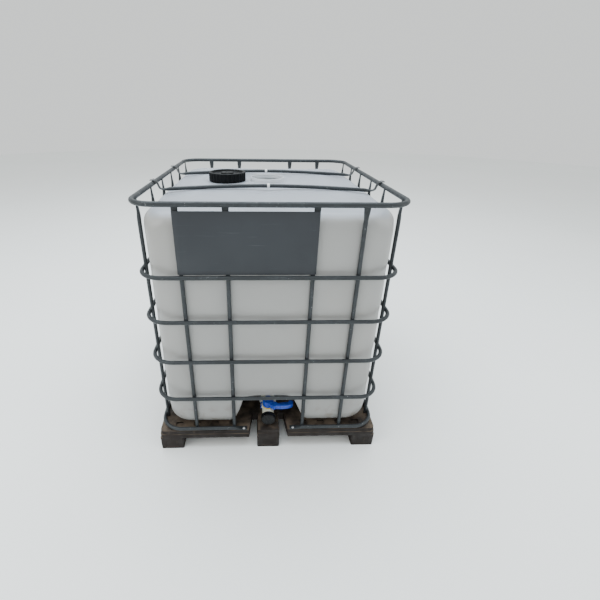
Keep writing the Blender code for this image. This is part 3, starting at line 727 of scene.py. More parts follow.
def deck_pockets():
    """Drain pockets in the deck's margin, where the bottle leaves it open to the sky."""
    wide, long = Vector((0.017, 0.012)), Vector((0.009, 0.020))
    places = []
    for y in (-0.553, 0.553):
        row = [(step - 5) * 0.0830 for step in range(11)]
        places += [(Vector((x, y)), wide) for x in row if abs(x) > 0.120 or y > 0]
    for x in (-0.453, 0.453):
        places += [(Vector((x, (step - 5) * 0.0900)), long) for step in range(11)]
    return [((*(place - half), DECK_TOP - POCKET_DEPTH), (*(place + half), DECK_TOP + BEYOND))
            for place, half in places]


def belly_pockets():
    """Hollows between the ribs under the deck, clear of the feet, the slots and the outer beams."""
    pitch, half = 0.112, 0.051
    low, high = DECK_BOTTOM - BEYOND, DECK_TOP - 0.010
    boxes = []
    for column in range(8):
        for row in range(10):
            x, y = (column - 3.5) * pitch, (row - 4.5) * pitch
            near_foot = any(abs(x - fx) < 0.100 and abs(y - fy) < 0.125
                            for fx in FOOT_COLUMNS for fy in FOOT_ROWS)
            near_slots = abs(x) < 0.17 and y < -0.42
            if not near_foot and not near_slots:
                boxes.append(((x - half, y - half, low), (x + half, y + half, high)))
    return boxes


def make_pallet():
    """The deck with its edge stepped in above, cut by slots and pockets, on nine feet."""
    deck = block("pallet_visual", (PALLET_LOW.x, PALLET_LOW.y, DECK_BOTTOM), PALLET_HIGH)
    bevel_edges(deck, is_upright, 0.020, 4)
    step_level = DECK_BOTTOM + 0.022
    for level in (step_level, step_level + 0.002):
        pick(deck, "FACE", lambda face: True)
        bpy.ops.mesh.bisect(plane_co=(0.0, 0.0, level), plane_no=(0.0, 0.0, 1.0))
    close_edit(deck)
    points = coordinates(deck)
    upper = points[:, 2] > step_level + 0.001
    points[upper, :2] -= np.sign(points[upper, :2]) * 0.003
    set_coordinates(deck, points)
    front, rear = PALLET_LOW.y - BEYOND, PALLET_LOW.y + SLOT_DEPTH
    slot = [(SLOT_INNER, front), (SLOT_FRONT + 0.002, front), (SLOT_REAR, rear), (SLOT_INNER, rear)]
    for side in (-1, 1):
        outline = rounded([(side * x, y) for x, y in slot], 0.004)
        combine(deck, prism("slot", outline, DECK_BOTTOM - BEYOND, DECK_TOP + BEYOND), "DIFFERENCE")
    soften(deck, 0.0020, 2, 40)
    combine(deck, many_blocks("belly", belly_pockets()), "DIFFERENCE")
    pockets = many_blocks("pockets", deck_pockets())
    bevel_edges(pockets, is_upright, 0.005, 2)
    combine(deck, pockets, "DIFFERENCE")
    foot = make_foot()
    for x in FOOT_COLUMNS:
        for y in FOOT_ROWS:
            combine(deck, copy_of(foot, "foot_copy", 0.0, (x, y, 0.0)), "UNION")
    bpy.data.objects.remove(foot, do_unlink=True)
    dress(deck, "pallet_plastic", "container", "pallet", angle=30)


# ---- bottle --------------------------------------------------------------------------------------
FRONT_TUBES = [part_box(f"front_upright_{number}")[0].x + 0.012 for number in (3, 4)]
SIDE_TUBES = [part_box(f"right_upright_{number}")[0].y + 0.012 for number in (4, 5, 6)]
BOTTLE_HALF = (0.468, 0.568)
NECK_RADIUS = 0.079
NECK_TOP = 1.142
SHOULDER_TOP = 1.107
BAY_FRONT, BAY_REAR = -0.620, -0.395
BAY_FOOT = 0.080
BAY_FILLET = 0.040
STUB_FRONT = -0.4565


def pillow(position, tubes, beyond):
    """0 at a tube and near 1 halfway to the next one."""
    edges = [-tubes[0], *tubes, beyond]
    swell = np.zeros_like(position)
    for low, high in zip(edges, edges[1:]):
        inside = (position >= low) & (position < high)
        share = (position[inside] - low) / (high - low)
        swell[inside] = np.sin(pi * share) ** 1.5 * min(1.0, (high - low) / 0.19)
    return swell


def swell_bottle(bottle, sizes):
    """Pushes the walls out between the tubes that hold them, and domes the top."""
    points, ways = coordinates(bottle), normals(bottle)
    x, y, z = points.T
    grip = np.ones_like(z)
    for level in RING_LEVELS:
        grip *= 1.0 - 0.50 * np.exp(-((z - level) / 0.030) ** 2)
    grip *= ease((z - 0.125) / 0.11) * ease((1.105 - z) / 0.075)
    side = ease((np.abs(ways[:, 0]) - 0.30) / 0.60) * ease((np.abs(x) - 0.36) / 0.06)
    front = ease((np.abs(ways[:, 1]) - 0.30) / 0.60) * ease((np.abs(y) - 0.46) / 0.06)
    near_bay = (y < 0) * ease((0.250 - np.abs(x)) / 0.05) * ease((0.330 - z) / 0.05)
    push = side * sizes.side_bulge * pillow(np.abs(y), SIDE_TUBES, 0.640)
    push += front * sizes.front_bulge * pillow(np.abs(x), FRONT_TUBES, 0.500) * (1.0 - near_bay)
    points += ways * (push * grip)[:, None]
    inset = np.minimum(BOTTLE_HALF[0] - np.abs(x), BOTTLE_HALF[1] - np.abs(y))
    rise = 0.0135 * ease((inset - 0.030) / 0.150) + 0.002 * ease((inset - 0.18) / 0.15)
    valley = 0.0045 * np.exp(-(x / 0.060) ** 2) * ease((np.hypot(x, y) - 0.105) / 0.10)
    on_top = ease((ways[:, 2] - 0.4) / 0.5) * (z > 1.0)
    points[:, 2] += (rise - valley) * on_top
    points[:, 2] = np.maximum(points[:, 2], BOTTLE_LOW.z + 0.0001)
    set_coordinates(bottle, points)


def open_round(bottle, test, radius, centre, rotation, rings):
    """Cuts a hole where faces pass a test, bridges it to a circle and draws that out through rings.

    A ring is the next shift and the scale of the circle after it.
    """
    pick(bottle, "FACE", test)
    bpy.ops.mesh.delete(type="FACE")
    bpy.ops.mesh.primitive_circle_add(vertices=96, radius=radius, location=centre, rotation=rotation)
    pick(bottle, "EDGE", lambda edge: edge.is_wire or (
        edge.is_boundary and (edge.verts[0].co - Vector(centre)).length < radius * 1.9))
    bpy.ops.mesh.bridge_edge_loops()
    pick(bottle, "EDGE", lambda edge: edge.is_boundary and all(
        (vert.co - Vector(centre)).length < radius * 1.02 for vert in edge.verts))
    here = Vector(centre)
    for shift, scale in rings:
        bpy.ops.mesh.extrude_edges_move(TRANSFORM_OT_translate={"value": shift})
        here += Vector(shift)
        bpy.ops.transform.resize(value=(scale, scale, scale), center_override=here)
    close_edit(bottle)


def cut_neck_thread(bottle):
    """Raises one and a half turns of thread on the neck."""
    points = coordinates(bottle)
    radius, turn = np.hypot(points[:, 0], points[:, 1]), np.arctan2(points[:, 1], points[:, 0])
    on_neck = (radius < NECK_RADIUS + 0.003) & (points[:, 2] > 1.1250) & (points[:, 2] < NECK_TOP - 0.0015)
    rise = np.zeros_like(radius)
    for lap in (0, 1):
        level = 1.1270 + 0.008 * ((turn + pi) / (2 * pi) + lap)
        rise = np.maximum(rise, 0.0020 * ease(1.0 - np.abs(points[:, 2] - level) / 0.0024))
    scale = np.where(on_neck, 1.0 + rise / np.maximum(radius, 0.01), 1.0)
    points[:, 0] *= scale
    points[:, 1] *= scale
    set_coordinates(bottle, points)


def under_neck(face):
    middle = face.calc_center_median()
    return middle.xy.length < 0.096 and middle.z > 1.0


def behind_valve(face):
    middle = face.calc_center_median()
    return (abs(middle.x) < 0.040 and abs(middle.z - VALVE_LEVEL) < 0.036
            and -0.46 < middle.y < BAY_REAR + 0.02)


def make_bottle():
    """The blown bottle, remeshed from a block and swollen between the tubes, then opened and hollowed."""
    sizes = bpy.context.scene.container_sizes
    half_x, half_y = BOTTLE_HALF
    bottle = block("bottle_visual", (-half_x, -half_y, BOTTLE_LOW.z), (half_x, half_y, SHOULDER_TOP))
    bevel_edges(bottle, is_upright, 0.110, 8)
    bevel_edges(bottle, lambda edge: all(vert.co.z > 1.0 for vert in edge.verts), 0.050, 6)
    bevel_edges(bottle, lambda edge: all(vert.co.z < 0.2 for vert in edge.verts), 0.062, 6)
    rows = []
    for y, low_half, top_half, top in ((BAY_FRONT, 0.195, 0.105, 0.292), (BAY_REAR, 0.145, 0.105, 0.256)):
        right = [(low_half, BAY_FOOT, 0.0), (top_half, top, BAY_FILLET)]
        outline = right + [(-x, z, fillet) for x, z, fillet in reversed(right)]
        rows.append([(x, y, z) for x, z in rounded(outline, steps=6)])
    bay = drawn_out("bay", rows[0], (0.0, BAY_REAR - BAY_FRONT, 0.0))
    points = coordinates(bay)
    rear = points[:, 1] > -0.5
    for index in np.nonzero(rear)[0]:
        nearest = min(range(len(rows[0])), key=lambda k: (points[index, 0] - rows[0][k][0]) ** 2
                      + (points[index, 2] - rows[0][k][2]) ** 2)
        points[index] = rows[1][nearest]
    set_coordinates(bay, points)
    face_outwards(bay)
    combine(bottle, bay, "DIFFERENCE")
    apply_modifier(bottle, "REMESH", mode="VOXEL", voxel_size=sizes.grain)
    apply_modifier(bottle, "SMOOTH", factor=0.5, iterations=5)
    swell_bottle(bottle, sizes)
    neck_rings = [((0.0, 0.0, 0.0008), 0.975), ((0.0, 0.0, 0.0012), 0.979)]
    neck_rings += [((0.0, 0.0, 0.00125), 1.0)] * 13
    open_round(bottle, under_neck, 0.0828, (0.0, 0.0, 1.1235), (0.0, 0.0, 0.0), neck_rings)
    stub_rings = [((0.0, -0.002, 0.0), 0.953), ((0.0, STUB_FRONT - BAY_REAR + 0.005, 0.0), 1.0)]
    stub_foot = (0.0, BAY_REAR - 0.003, VALVE_LEVEL)
    open_round(bottle, behind_valve, 0.0315, stub_foot, (pi / 2, 0.0, 0.0), stub_rings)
    cut_neck_thread(bottle)
    face_outwards(bottle)
    apply_modifier(bottle, "SOLIDIFY", thickness=sizes.wall, offset=-1.0)
    dress(bottle, "bottle_plastic", "container", "bottle", angle=60)


# ---- cage ----------------------------------------------------------------------------------------
UPRIGHTS = [("front", 4, 0.0), ("right", 6, pi / 2), ("rear", 4, pi), ("left", 6, -pi / 2)]
UP = Vector((0.0, 0.0, 1.0))
RAIL_SCREWS = 8
CROSSBAR_BOLTS = 4


def crossings():
    """(x, y) where each upright meets a ring, with the way out of the cage there."""
    found = []
    for side, count, turn in UPRIGHTS:
        out = Vector((sin(turn), -cos(turn)))
        for number in range(1, count + 1):
            name = f"{side}_upright_{number}"
            place = middle_of(name).xy
            if side in ("front", "rear"):
                place.y = out.y * RING_HALF.y
            else:
                place.x = out.x * RING_HALF.x
            found.append((name, place, out, turn))
    return found


def slack(distance):
    """How far a dent's plane draws back at a distance along the tube."""
    return 0.0060 * ease((np.abs(distance) - 0.0055) / 0.0100)


def ring_stations(places, level, radius):
    stations = []
    for place, turn in places:
        side = Vector((sin(turn), -cos(turn), 0.0))
        stations.append((Vector((place.x, place.y, level)), side, UP, radius, radius))
    return stations


def dent_ring(ring, contact):
    """Presses a ring's inner wall flat where it is welded to an upright."""
    points = coordinates(ring)
    for _, place, out, _ in crossings():
        offset = points[:, :2] - np.array(place)
        along = offset @ np.array((-out.y, out.x))
        outward = offset @ np.array(out)
        near = (np.abs(along) < 0.018) & (np.abs(outward) < 0.03)
        floor = -RING_RADIUS + contact - slack(along)
        lift = np.where(near, np.maximum(floor - outward, 0.0), 0.0)
        points[:, :2] += lift[:, None] * np.array(out)
    set_coordinates(ring, points)


def make_rings():
    marks = [place for _, place, _, _ in crossings()]
    places = loop_places(RING_HALF, RING_CORNER, marks)
    first = tube("cage_ring_visual_1", ring_stations(places, RING_LEVELS[0], RING_RADIUS), closed=True)
    dent_ring(first, CONTACT)
    rings = [first]
    for number, level in enumerate(RING_LEVELS[1:], start=2):
        rings.append(copy_of(first, f"cage_ring_visual_{number}", 0.0, (0.0, 0.0, level - RING_LEVELS[0])))
    for number, ring in enumerate(rings, start=1):
        dress(ring, "galvanised_tube", "container", f"cage_ring_{number}")
    places = loop_places(RIM_HALF, RING_CORNER, marks, fine=0.005)
    rim = tube("top_rim_visual", ring_stations(places, RIM_LEVEL, RIM_RADIUS), closed=True, sides=20)
    dress(rim, "galvanised_tube", "container", "top_rim")


def make_bottom_rail():
    """The rail on the deck, open before the valve and pressed flat at its ends and at its screws."""
    screws = [middle_of(f"rail_screw_{number}").xy for number in range(1, RAIL_SCREWS + 1)]
    marks = [place for _, place, _, _ in crossings()] + screws
    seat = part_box("bottom_rail")[0].z
    opening = 0.099
    flat_width, flat_height = 0.0125, 0.0028
    stations = []
    for place, turn in loop_places(RING_HALF, RING_CORNER, marks, opening, opening):
        reach = min((place - screw).length for screw in screws)
        flat = 1.0 - float(ease((reach - 0.014) / 0.032))
        width = RING_RADIUS + (flat_width - RING_RADIUS) * flat
        height = RING_RADIUS + (flat_height - RING_RADIUS) * flat
        side = Vector((sin(turn), -cos(turn), 0.0))
        centre = Vector((place.x, place.y, seat + height)) - side * (width - RING_RADIUS)
        stations.append((centre, side, UP, width, height))
    rail = tube("bottom_rail_visual", stations)
    dent_ring(rail, CONTACT)
    dress(rail, "galvanised_tube", "container", "bottom_rail")
    place, top = middle_of("rail_screw_1"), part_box("rail_screw_1")[1].z
    head = [
        (0.0, top - 0.0065, 0.0), (0.0062, top - 0.0040), (0.0062, top - 0.0018), (0.0036, top),
        (0.0028, top), (0.0022, top - 0.0022), (0.0, top - 0.0022, 0.0),
    ]
    screw = turned("rail_screw_visual_1", rounded(head, 0.0004, 2), (place.x, place.y, 0.0), steps=24)
    dress_copies(screw, "rail_screw", RAIL_SCREWS, "zinc_fastener")


def make_upright(sizes, leaf):
    """An upright at the origin that faces -Y, with its top pressed flat against the rim."""
    low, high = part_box("front_upright_1")
    bottom, top = low.z, high.z
    levels = set(np.linspace(bottom, top - 0.080, 26)) | set(np.linspace(top - 0.078, top, 18))
    crossed = [*RING_LEVELS, bottom + RING_RADIUS]
    for level in crossed:
        levels |= {level + 0.0022 * step for step in range(-8, 9) if level + 0.0022 * step >= bottom}
    stations = []
    for level in sorted(levels):
        drop = top - level
        flat = 1.0 - float(ease((drop - 0.012) / (0.062 if leaf else 0.045)))
        widest = float(np.exp(-((drop - 0.030) / 0.022) ** 2)) if leaf else flat
        wide = sizes.upright_width + 0.0040 * widest
        deep = sizes.upright_depth + (0.0026 - sizes.upright_depth) * flat
        outward = 0.0012 * flat + 0.0015 * sin(pi * float(ease(drop / 0.09))) * (-1 if leaf else 0)
        centre = Vector((0.0, -outward, level))
        stations.append((centre, Vector((1.0, 0.0, 0.0)), Vector((0.0, -1.0, 0.0)), wide, deep))
    upright = tube("upright_pattern", stations)
    points = coordinates(upright)
    reach = UPRIGHT_INSET - RING_RADIUS + CONTACT
    for level in crossed:
        limit = reach + slack(points[:, 2] - level)
        near = np.abs(points[:, 2] - level) < 0.017
        points[:, 1] = np.where(near, np.maximum(points[:, 1], -limit), points[:, 1])
        squeeze = 1.0 + 0.06 * ease(1.0 - np.abs(points[:, 2] - level) / 0.012)
        points[:, 0] *= squeeze
    set_coordinates(upright, points)
    return upright


def make_uprights():
    sizes = bpy.context.scene.container_sizes
    patterns = {True: make_upright(sizes, True), False: make_upright(sizes, False)}
    for name, place, out, turn in crossings():
        leaf = name.startswith(("left", "right"))
        spot = place - out * UPRIGHT_INSET
        new_name = name.replace("upright", "upright_visual")
        twin = copy_of(patterns[leaf], new_name, turn, (spot.x, spot.y, 0.0))
        dress(twin, "galvanised_tube", "container", name)
    for pattern in patterns.values():
        bpy.data.objects.remove(pattern, do_unlink=True)


# ---- crossbars, bands, bolts and plate -----------------------------------------------------------
def make_crossbars():
    low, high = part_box("crossbar_front")
    tab = 0.0020
    tab_level = high.z - tab
    middle = 1.137
    y = (low.y + high.y) / 2
    half = [
        (0.000, middle, 0.0080, 0.0080), (0.200, middle - 0.004, 0.0080, 0.0080),
        (0.400, middle - 0.014, 0.0080, 0.0080), (0.425, middle - 0.016, 0.0085, 0.0075),
        (0.447, middle - 0.017, 0.0110, 0.0042), (0.462, middle - 0.012, 0.0130, tab),
        (0.470, middle + 0.006, 0.0138, tab), (0.4745, tab_level - 0.004, 0.0140, tab),
        (0.481, tab_level, 0.0140, tab), (high.x - 0.003, tab_level, 0.0140, tab),
        (high.x, tab_level, 0.0120, tab),
    ]
    profile = curve_through([(-x, z, w, h) for x, z, w, h in reversed(half[1:])] + half, 5)
    stations = []
    for index, (x, z, wide, thick) in enumerate(profile):
        ahead, behind = profile[min(index + 1, len(profile) - 1)], profile[max(index - 1, 0)]
        along = Vector((ahead[0] - behind[0], 0.0, ahead[1] - behind[1])).normalized()
        up = Vector((-along.z, 0.0, along.x))
        stations.append((Vector((x, y, z)), Vector((0.0, 1.0, 0.0)), up, wide, max(thick, tab * 0.9)))
    front = tube("crossbar_visual_front", stations)
    rear = copy_of(front, "crossbar_visual_rear", pi)
    for name, bar in (("front", front), ("rear", rear)):
        dress(bar, "galvanised_tube", "container", f"crossbar_{name}")
    make_bands()
    make_bolts(tab_level + tab)


def make_bands():
    low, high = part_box("crossbar_band_front")
    inner, outer = 0.0083, 0.0098
    half = (high.x - low.x) / 2
    profile = rounded([(inner, -half), (outer, -half), (outer, half), (inner, half)], 0.0005, 2)
    for name in ("front", "rear"):
        centre = middle_of(f"crossbar_band_{name}")
        band = turned(f"crossbar_band_visual_{name}", profile, (0.0, centre.y, centre.z), "X", steps=32)
        dress(band, "white_band", "container", f"crossbar_band_{name}")


def make_bolts(seat):
    """Hexagon bolts with a washer face, one at each crossbar tab."""
    place, top = middle_of("crossbar_bolt_1"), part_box("crossbar_bolt_1")[1].z
    low = seat + GAP
    flange = 0.0012
    height = top - low - flange
    deselect_all()
    bpy.ops.mesh.primitive_cylinder_add(vertices=6, radius=0.0068, depth=height,
                                        location=(place.x, place.y, low + flange + height / 2))
    bolt = added("crossbar_bolt_visual_1")
    bevel_edges(bolt, lambda edge: all(vert.co.z > seat + 0.003 for vert in edge.verts), 0.0008, 2)
    profile = [
        (0.0, seat - 0.006, 0.0), (0.0038, seat - 0.006), (0.0038, low), (0.0075, low),
        (0.0075, low + 0.0014), (0.0, low + 0.0014, 0.0),
    ]
    washer = turned("washer", rounded(profile, 0.0004, 2), (place.x, place.y, 0.0), steps=32)
    combine(bolt, washer, "UNION")
    dress_copies(bolt, "crossbar_bolt", CROSSBAR_BOLTS, "zinc_fastener")


def make_label_plate():
    """A steel sheet in faint waves, with folded hems above and below and its ends curled back."""
    low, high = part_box("label_plate")
    front = -(RING_HALF.y - UPRIGHT_INSET + 0.0075 + GAP)
    thick = 0.0012
    hem, fold = 0.010, 0.0026
    section = [
        (front, low.z + hem), (front, low.z + 0.001), (front - fold, low.z), (front - fold, high.z),
        (front, high.z - 0.001), (front, high.z - hem), (front - fold + thick, high.z - hem),
        (front - fold + thick, low.z + hem),
    ]
    outline = [(low.x, y, z) for y, z in rounded(section, 0.0008, 2)]
    plate = drawn_out("label_plate_visual", outline, (high.x - low.x, 0.0, 0.0))
    pick(plate, "EDGE", lambda edge: abs(edge.verts[0].co.x - edge.verts[1].co.x) > 0.1)
    bpy.ops.mesh.subdivide(number_cuts=48)
    close_edit(plate)
    points = coordinates(plate)
    across = (points[:, 0] - low.x) / (high.x - low.x)
    up = (points[:, 2] - low.z) / (high.z - low.z)
    points[:, 1] += 0.0007 * np.sin(across * 5.0 * pi) * np.sin(pi * up)
    points[:, 1] += 0.0040 * (ease(1.0 - across / 0.012) + ease(1.0 - (1.0 - across) / 0.012))
    set_coordinates(plate, points)
    dress(plate, "plate_steel", "container", "label_plate")


# ---- lid -----------------------------------------------------------------------------------------
LID_RIBS = 30


def make_lid():
    """The screw lid: ribbed skirt, raised rim and a sunk plate with the vent plug in its middle."""
    sizes = bpy.context.scene.container_sizes
    radius = (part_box("lid")[1].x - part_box("lid")[0].x) / 2
    plate = LID_HIGH - 0.010
    underside = plate - 0.004
    hole = 0.026
    profile = [
        (radius, LID_LOW), (radius, LID_HIGH - 0.003, 0.003), (radius - 0.003, LID_HIGH, 0.002),
        (radius - 0.012, LID_HIGH, 0.002), (radius - 0.0145, plate, 0.003), (0.058, plate),
        (0.0565, plate + 0.002), (0.053, plate + 0.002), (0.0515, plate), (0.036, plate),
        (0.0345, plate + 0.0012), (hole, plate + 0.0002), (hole, underside), (radius - 0.007, underside),
        (radius - 0.007, LID_LOW),
    ]
    lid = turned("lid_visual", rounded(profile, 0.0006, 2), LID_CENTRE, steps=LID_RIBS * 8)

    def grip(turn, level):
        wave = 0.5 - 0.5 * np.cos(turn * LID_RIBS)
        return sizes.lid_rib * ease((wave - 0.30) / 0.35) * ease((LID_HIGH - 0.001 - level) / 0.005)

    sink_wall(lid, LID_CENTRE, "Z", radius - 0.0005, grip)
    dress(lid, "black_plastic", "lid", "lid", angle=32)
    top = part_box("vent_plug")[1].z
    flange = plate + GAP + 0.0018
    plug = [
        (0.0, underside - 0.006, 0.0), (0.0225, underside - 0.006), (0.0225, flange), (0.0305, flange),
        (0.0305, flange + 0.0026), (0.0285, top), (0.0125, top), (0.0115, top - 0.0020),
        (0.0, top - 0.0020, 0.0),
    ]
    vent = turned("vent_plug_visual", rounded(plug, 0.0008, 3), LID_CENTRE, steps=96)

    def notches(turn, level):
        wave = 0.5 - 0.5 * np.cos(turn * 12)
        return 0.0022 * ease((wave - 0.80) / 0.15) * (level > flange - 0.0001)

    sink_wall(vent, LID_CENTRE, "Z", 0.0270, notches)
    grip_bar = block("grip_bar", (LID_CENTRE.x - 0.0095, -0.0022, top - 0.0025),
                     (LID_CENTRE.x + 0.0095, 0.0022, top))
    bevel_edges(grip_bar, lambda edge: all(vert.co.z > top - 0.001 for vert in edge.verts), 0.0008, 2)
    combine(vent, grip_bar, "UNION")
    dress(vent, "black_plastic", "vent_plug", "vent_plug", angle=32)


# ---- outlet valve --------------------------------------------------------------------------------
HUB_RADIUS = 0.0255
LEVER_LOW, LEVER_HIGH = VALVE_LEVEL + 0.037, VALVE_LEVEL + 0.057
LEVER_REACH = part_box("valve_lever")[1].x
HUB_LOW, HUB_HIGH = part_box("valve_lever")[0].z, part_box("valve_lever")[1].z
BOSS_TOP = VALVE_LEVEL + 0.0285


def make_valve_body():
    """The valve's tube with its thread and flange, and the bosses of the stem and the latch."""
    tube_radius, thread_radius, flange, bore = 0.0270, 0.0285, 0.0315, 0.0230
    profile = [
        (bore, BODY_REAR), (flange, BODY_REAR), (flange, BODY_REAR - 0.004),
        (tube_radius, BODY_REAR - 0.004, 0.0015), (tube_radius, CAP_REAR), (thread_radius, CAP_REAR),
        (thread_radius, BODY_FRONT), (bore, BODY_FRONT),
    ]
    body = turned("valve_body_visual", rounded(profile, 0.0005, 2), VALVE_AXIS, "Y", 72)
    stem = (0.0, STEM_Y, 0.0)
    low, high = VALVE_LEVEL + 0.022, BOSS_TOP
    boss = rounded([(0.0054, low), (0.0125, low), (0.0125, high), (0.0054, high)], 0.0006, 2)
    combine(body, turned("boss", boss, stem, steps=40), "UNION")
    low, high = VALVE_LEVEL - 0.030, VALVE_LEVEL - 0.0245
    foot = rounded([(0.0, low, 0.0), (0.0100, low, 0.0010), (0.0100, high), (0.0, high, 0.0)], 0.0004, 2)
    combine(body, turned("foot", foot, stem, steps=32), "UNION")
    lug = block("lug", (-0.0355, -0.5050, VALVE_LEVEL + 0.004), (-0.0235, -0.4930, BOSS_TOP - GAP))
    bevel_edges(lug, lambda edge: True, 0.0010, 2)
    combine(body, lug, "UNION")
    dress(body, "valve_plastic", "container", "valve_body")


def make_union_nut():
    """The milky nut on the outlet: eight raised ribs on broad facets, chamfered at its front."""
    ribs = 8
    profile = [
        (0.0275, NUT_FRONT), (0.0330, NUT_FRONT, 0.0015), (0.0400, NUT_FRONT + 0.0065, 0.0020),
        (0.0405, NUT_REAR - 0.0050, 0.0020), (0.0392, NUT_REAR), (0.0320, NUT_REAR),
        (0.0320, NUT_FRONT + 0.0040), (0.0275, NUT_FRONT + 0.0040),
    ]
    nut = turned("union_nut_visual", rounded(profile, 0.0006, 3), VALVE_AXIS, "Y", ribs * 20)

    def facets(turn, level):
        spread = (turn * ribs / (2 * pi) + 0.5) % 1.0 - 0.5
        rib = ease((np.abs(spread) - 0.075) / 0.045)
        flat = 1.0 - np.cos(np.clip((0.5 - np.abs(spread)) * 2 * pi / ribs, -1, 1))
        return rib * (0.0021 + 0.0012 * (1.0 - flat * 8.0)) * ease((level - NUT_FRONT - 0.001) / 0.004)

    sink_wall(nut, VALVE_AXIS, "Y", 0.0335, facets)
    dress(nut, "nut_plastic", "union_nut", "union_nut", angle=28)


def lever_outline(steps):
    """The lever from above as a smooth outline, from lever lengths (reach along +X, step forward)."""
    shape = [
        (0.078, 0.238), (0.160, 0.300), (0.205, 0.345), (0.262, 0.342), (0.292, 0.305), (0.430, 0.318),
        (0.610, 0.316), (0.790, 0.290), (0.905, 0.245), (0.970, 0.190), (1.000, 0.110), (0.984, 0.050),
        (0.930, 0.015), (0.845, 0.012), (0.822, 0.044), (0.655, 0.050), (0.520, 0.078), (0.340, 0.100),
        (0.235, 0.030), (0.150, -0.090),
    ]
    return on_lever(curve_through(shape, steps, closed=True)[:-steps + 1])


def on_lever(shares):
    return [(LEVER_REACH * reach, STEM_Y - LEVER_REACH * step) for reach, step in shares]


def make_lever():
    """The handle: a thick outer rib round a sunk web, joined to a round hub with a stepped rim."""
    sizes = bpy.context.scene.container_sizes
    arm = prism("valve_lever_visual", lever_outline(4), LEVER_LOW, LEVER_HIGH)
    web = [(0.812, 0.135), (0.790, 0.178), (0.700, 0.212), (0.560, 0.226), (0.430, 0.196), (0.345, 0.125),
           (0.340, -0.020), (0.818, -0.020)]
    outline = on_lever(np.vstack([curve_through(web[:6], 5), web[6:]]))
    depth = 0.0065
    for low, high in ((LEVER_HIGH - depth, LEVER_HIGH + BEYOND), (LEVER_LOW - BEYOND, LEVER_LOW + depth)):
        combine(arm, prism("web", outline, low, high), "DIFFERENCE")
    soften(arm, sizes.soft_edge, 3, 35)
    profile = [
        (0.0, HUB_LOW, 0.0), (HUB_RADIUS - 0.001, HUB_LOW), (HUB_RADIUS, HUB_LOW + 0.002),
        (HUB_RADIUS, HUB_HIGH - 0.0062), (HUB_RADIUS - 0.0007, HUB_HIGH - 0.0056),
        (HUB_RADIUS - 0.0002, HUB_HIGH - 0.0048),
        (HUB_RADIUS - 0.0002, HUB_HIGH, 0.0012), (HUB_RADIUS - 0.0030, HUB_HIGH - 0.0001),
        (HUB_RADIUS - 0.0034, HUB_HIGH - 0.0006), (0.0, HUB_HIGH - 0.0004, 0.0),
    ]
    hub = turned("hub", rounded(profile, 0.0004, 3), (0.0, STEM_Y, 0.0), steps=96)
    combine(arm, hub, "UNION")
    tab = block("tab", (0.004, STEM_Y - HUB_RADIUS - 0.004, HUB_HIGH - 0.014),
                (0.009, STEM_Y - HUB_RADIUS + 0.004, HUB_HIGH - 0.004))
    bevel_edges(tab, lambda edge: True, 0.0008, 2)
    combine(arm, tab, "UNION")
    dress(arm, "blue_plastic", "valve_lever", "valve_lever", angle=35)


def make_latch():
    """The wavy hooked catch beside the hub."""
    low, high = BOSS_TOP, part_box("valve_latch")[1].z
    shape = [
        (-0.0290, -0.4950), (-0.0335, -0.4965), (-0.0355, -0.5030), (-0.0350, -0.5180), (-0.0365, -0.5300),
        (-0.0345, -0.5360), (-0.0320, -0.5350), (-0.0318, -0.5280), (-0.0290, -0.5230), (-0.0300, -0.5180),
        (-0.0305, -0.5060), (-0.0280, -0.5000),
    ]
    latch = prism("valve_latch_visual", curve_through(shape, 3, closed=True), low, high)
    soften(latch, 0.0006, 2, 50)
    dress(latch, "blue_plastic", "valve_latch", "valve_latch")


def make_dust_cap():
    """The glossy cap over the outlet: broad flutes between narrow grooves, and a flange at its rear."""
    flutes = 14
    radius = 0.0340
    inside = 0.0288
    profile = [
        (0.0, CAP_FRONT + 0.0004, 0.0), (0.0070, CAP_FRONT + 0.0004), (0.0090, CAP_FRONT, 0.001),
        (radius - 0.0052, CAP_FRONT, 0.002), (radius - 0.0012, CAP_FRONT + 0.0035, 0.0025),
        (radius - 0.0008, CAP_REAR - 0.0052), (radius, CAP_REAR - 0.0046), (radius, CAP_REAR),
        (inside, CAP_REAR), (inside, CAP_FRONT + 0.003), (0.0, CAP_FRONT + 0.003, 0.0),
    ]
    cap = turned("dust_cap_visual", rounded(profile, 0.0005, 4), VALVE_AXIS, "Y", flutes * 14)

    def grooves(turn, level):
        spread = np.abs((turn * flutes / (2 * pi)) % 1.0 - 0.5)
        groove = ease(1.0 - spread / 0.16)
        return 0.0022 * groove * ease((CAP_REAR - 0.0048 - level) / 0.0012)

    sink_wall(cap, VALVE_AXIS, "Y", radius - 0.0055, grooves)
    dress(cap, "black_plastic", "dust_cap", "dust_cap", angle=30, finish="cap_plastic")


def dress_hidden_nodes():
    """Gaskets, stem and disc keep their CAD shape and get the finish of their own slot."""
    kept = {
        "lid_gasket": "rubber", "vent_gasket": "rubber", "outlet_gasket": "rubber", "cap_gasket": "rubber",
        "hub_seal": "yellow_plastic", "butterfly_disc": "black_plastic", "valve_stem": "zinc_fastener",
    }
    for name, finish in kept.items():
        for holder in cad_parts[name].material_slots:
            holder.material = finishes()[finish]


# ---- stage ---------------------------------------------------------------------------------------
CAMERA_PLACE = (-0.0517, -1.795, 1.4279)
CAMERA_YAW, CAMERA_PITCH, CAMERA_ROLL = 0.0392, 0.4695, 0.0143
CAMERA_LENS = 21.606
CAMERA_SHIFT = (0.0511, -0.0124)


def soft_light(name, place, size, power, tint):
    deselect_all()
    aim = (Vector((0.0, 0.0, 0.6)) - Vector(place)).to_track_quat("-Z", "Y").to_euler()
    bpy.ops.object.light_add(type="AREA", location=place, rotation=aim)
    light = bpy.context.view_layer.objects.active
    light.name = name
    light.data.shape = "DISK"
    light.data.size = size
    light.data.energy = power
    light.data.color = tint


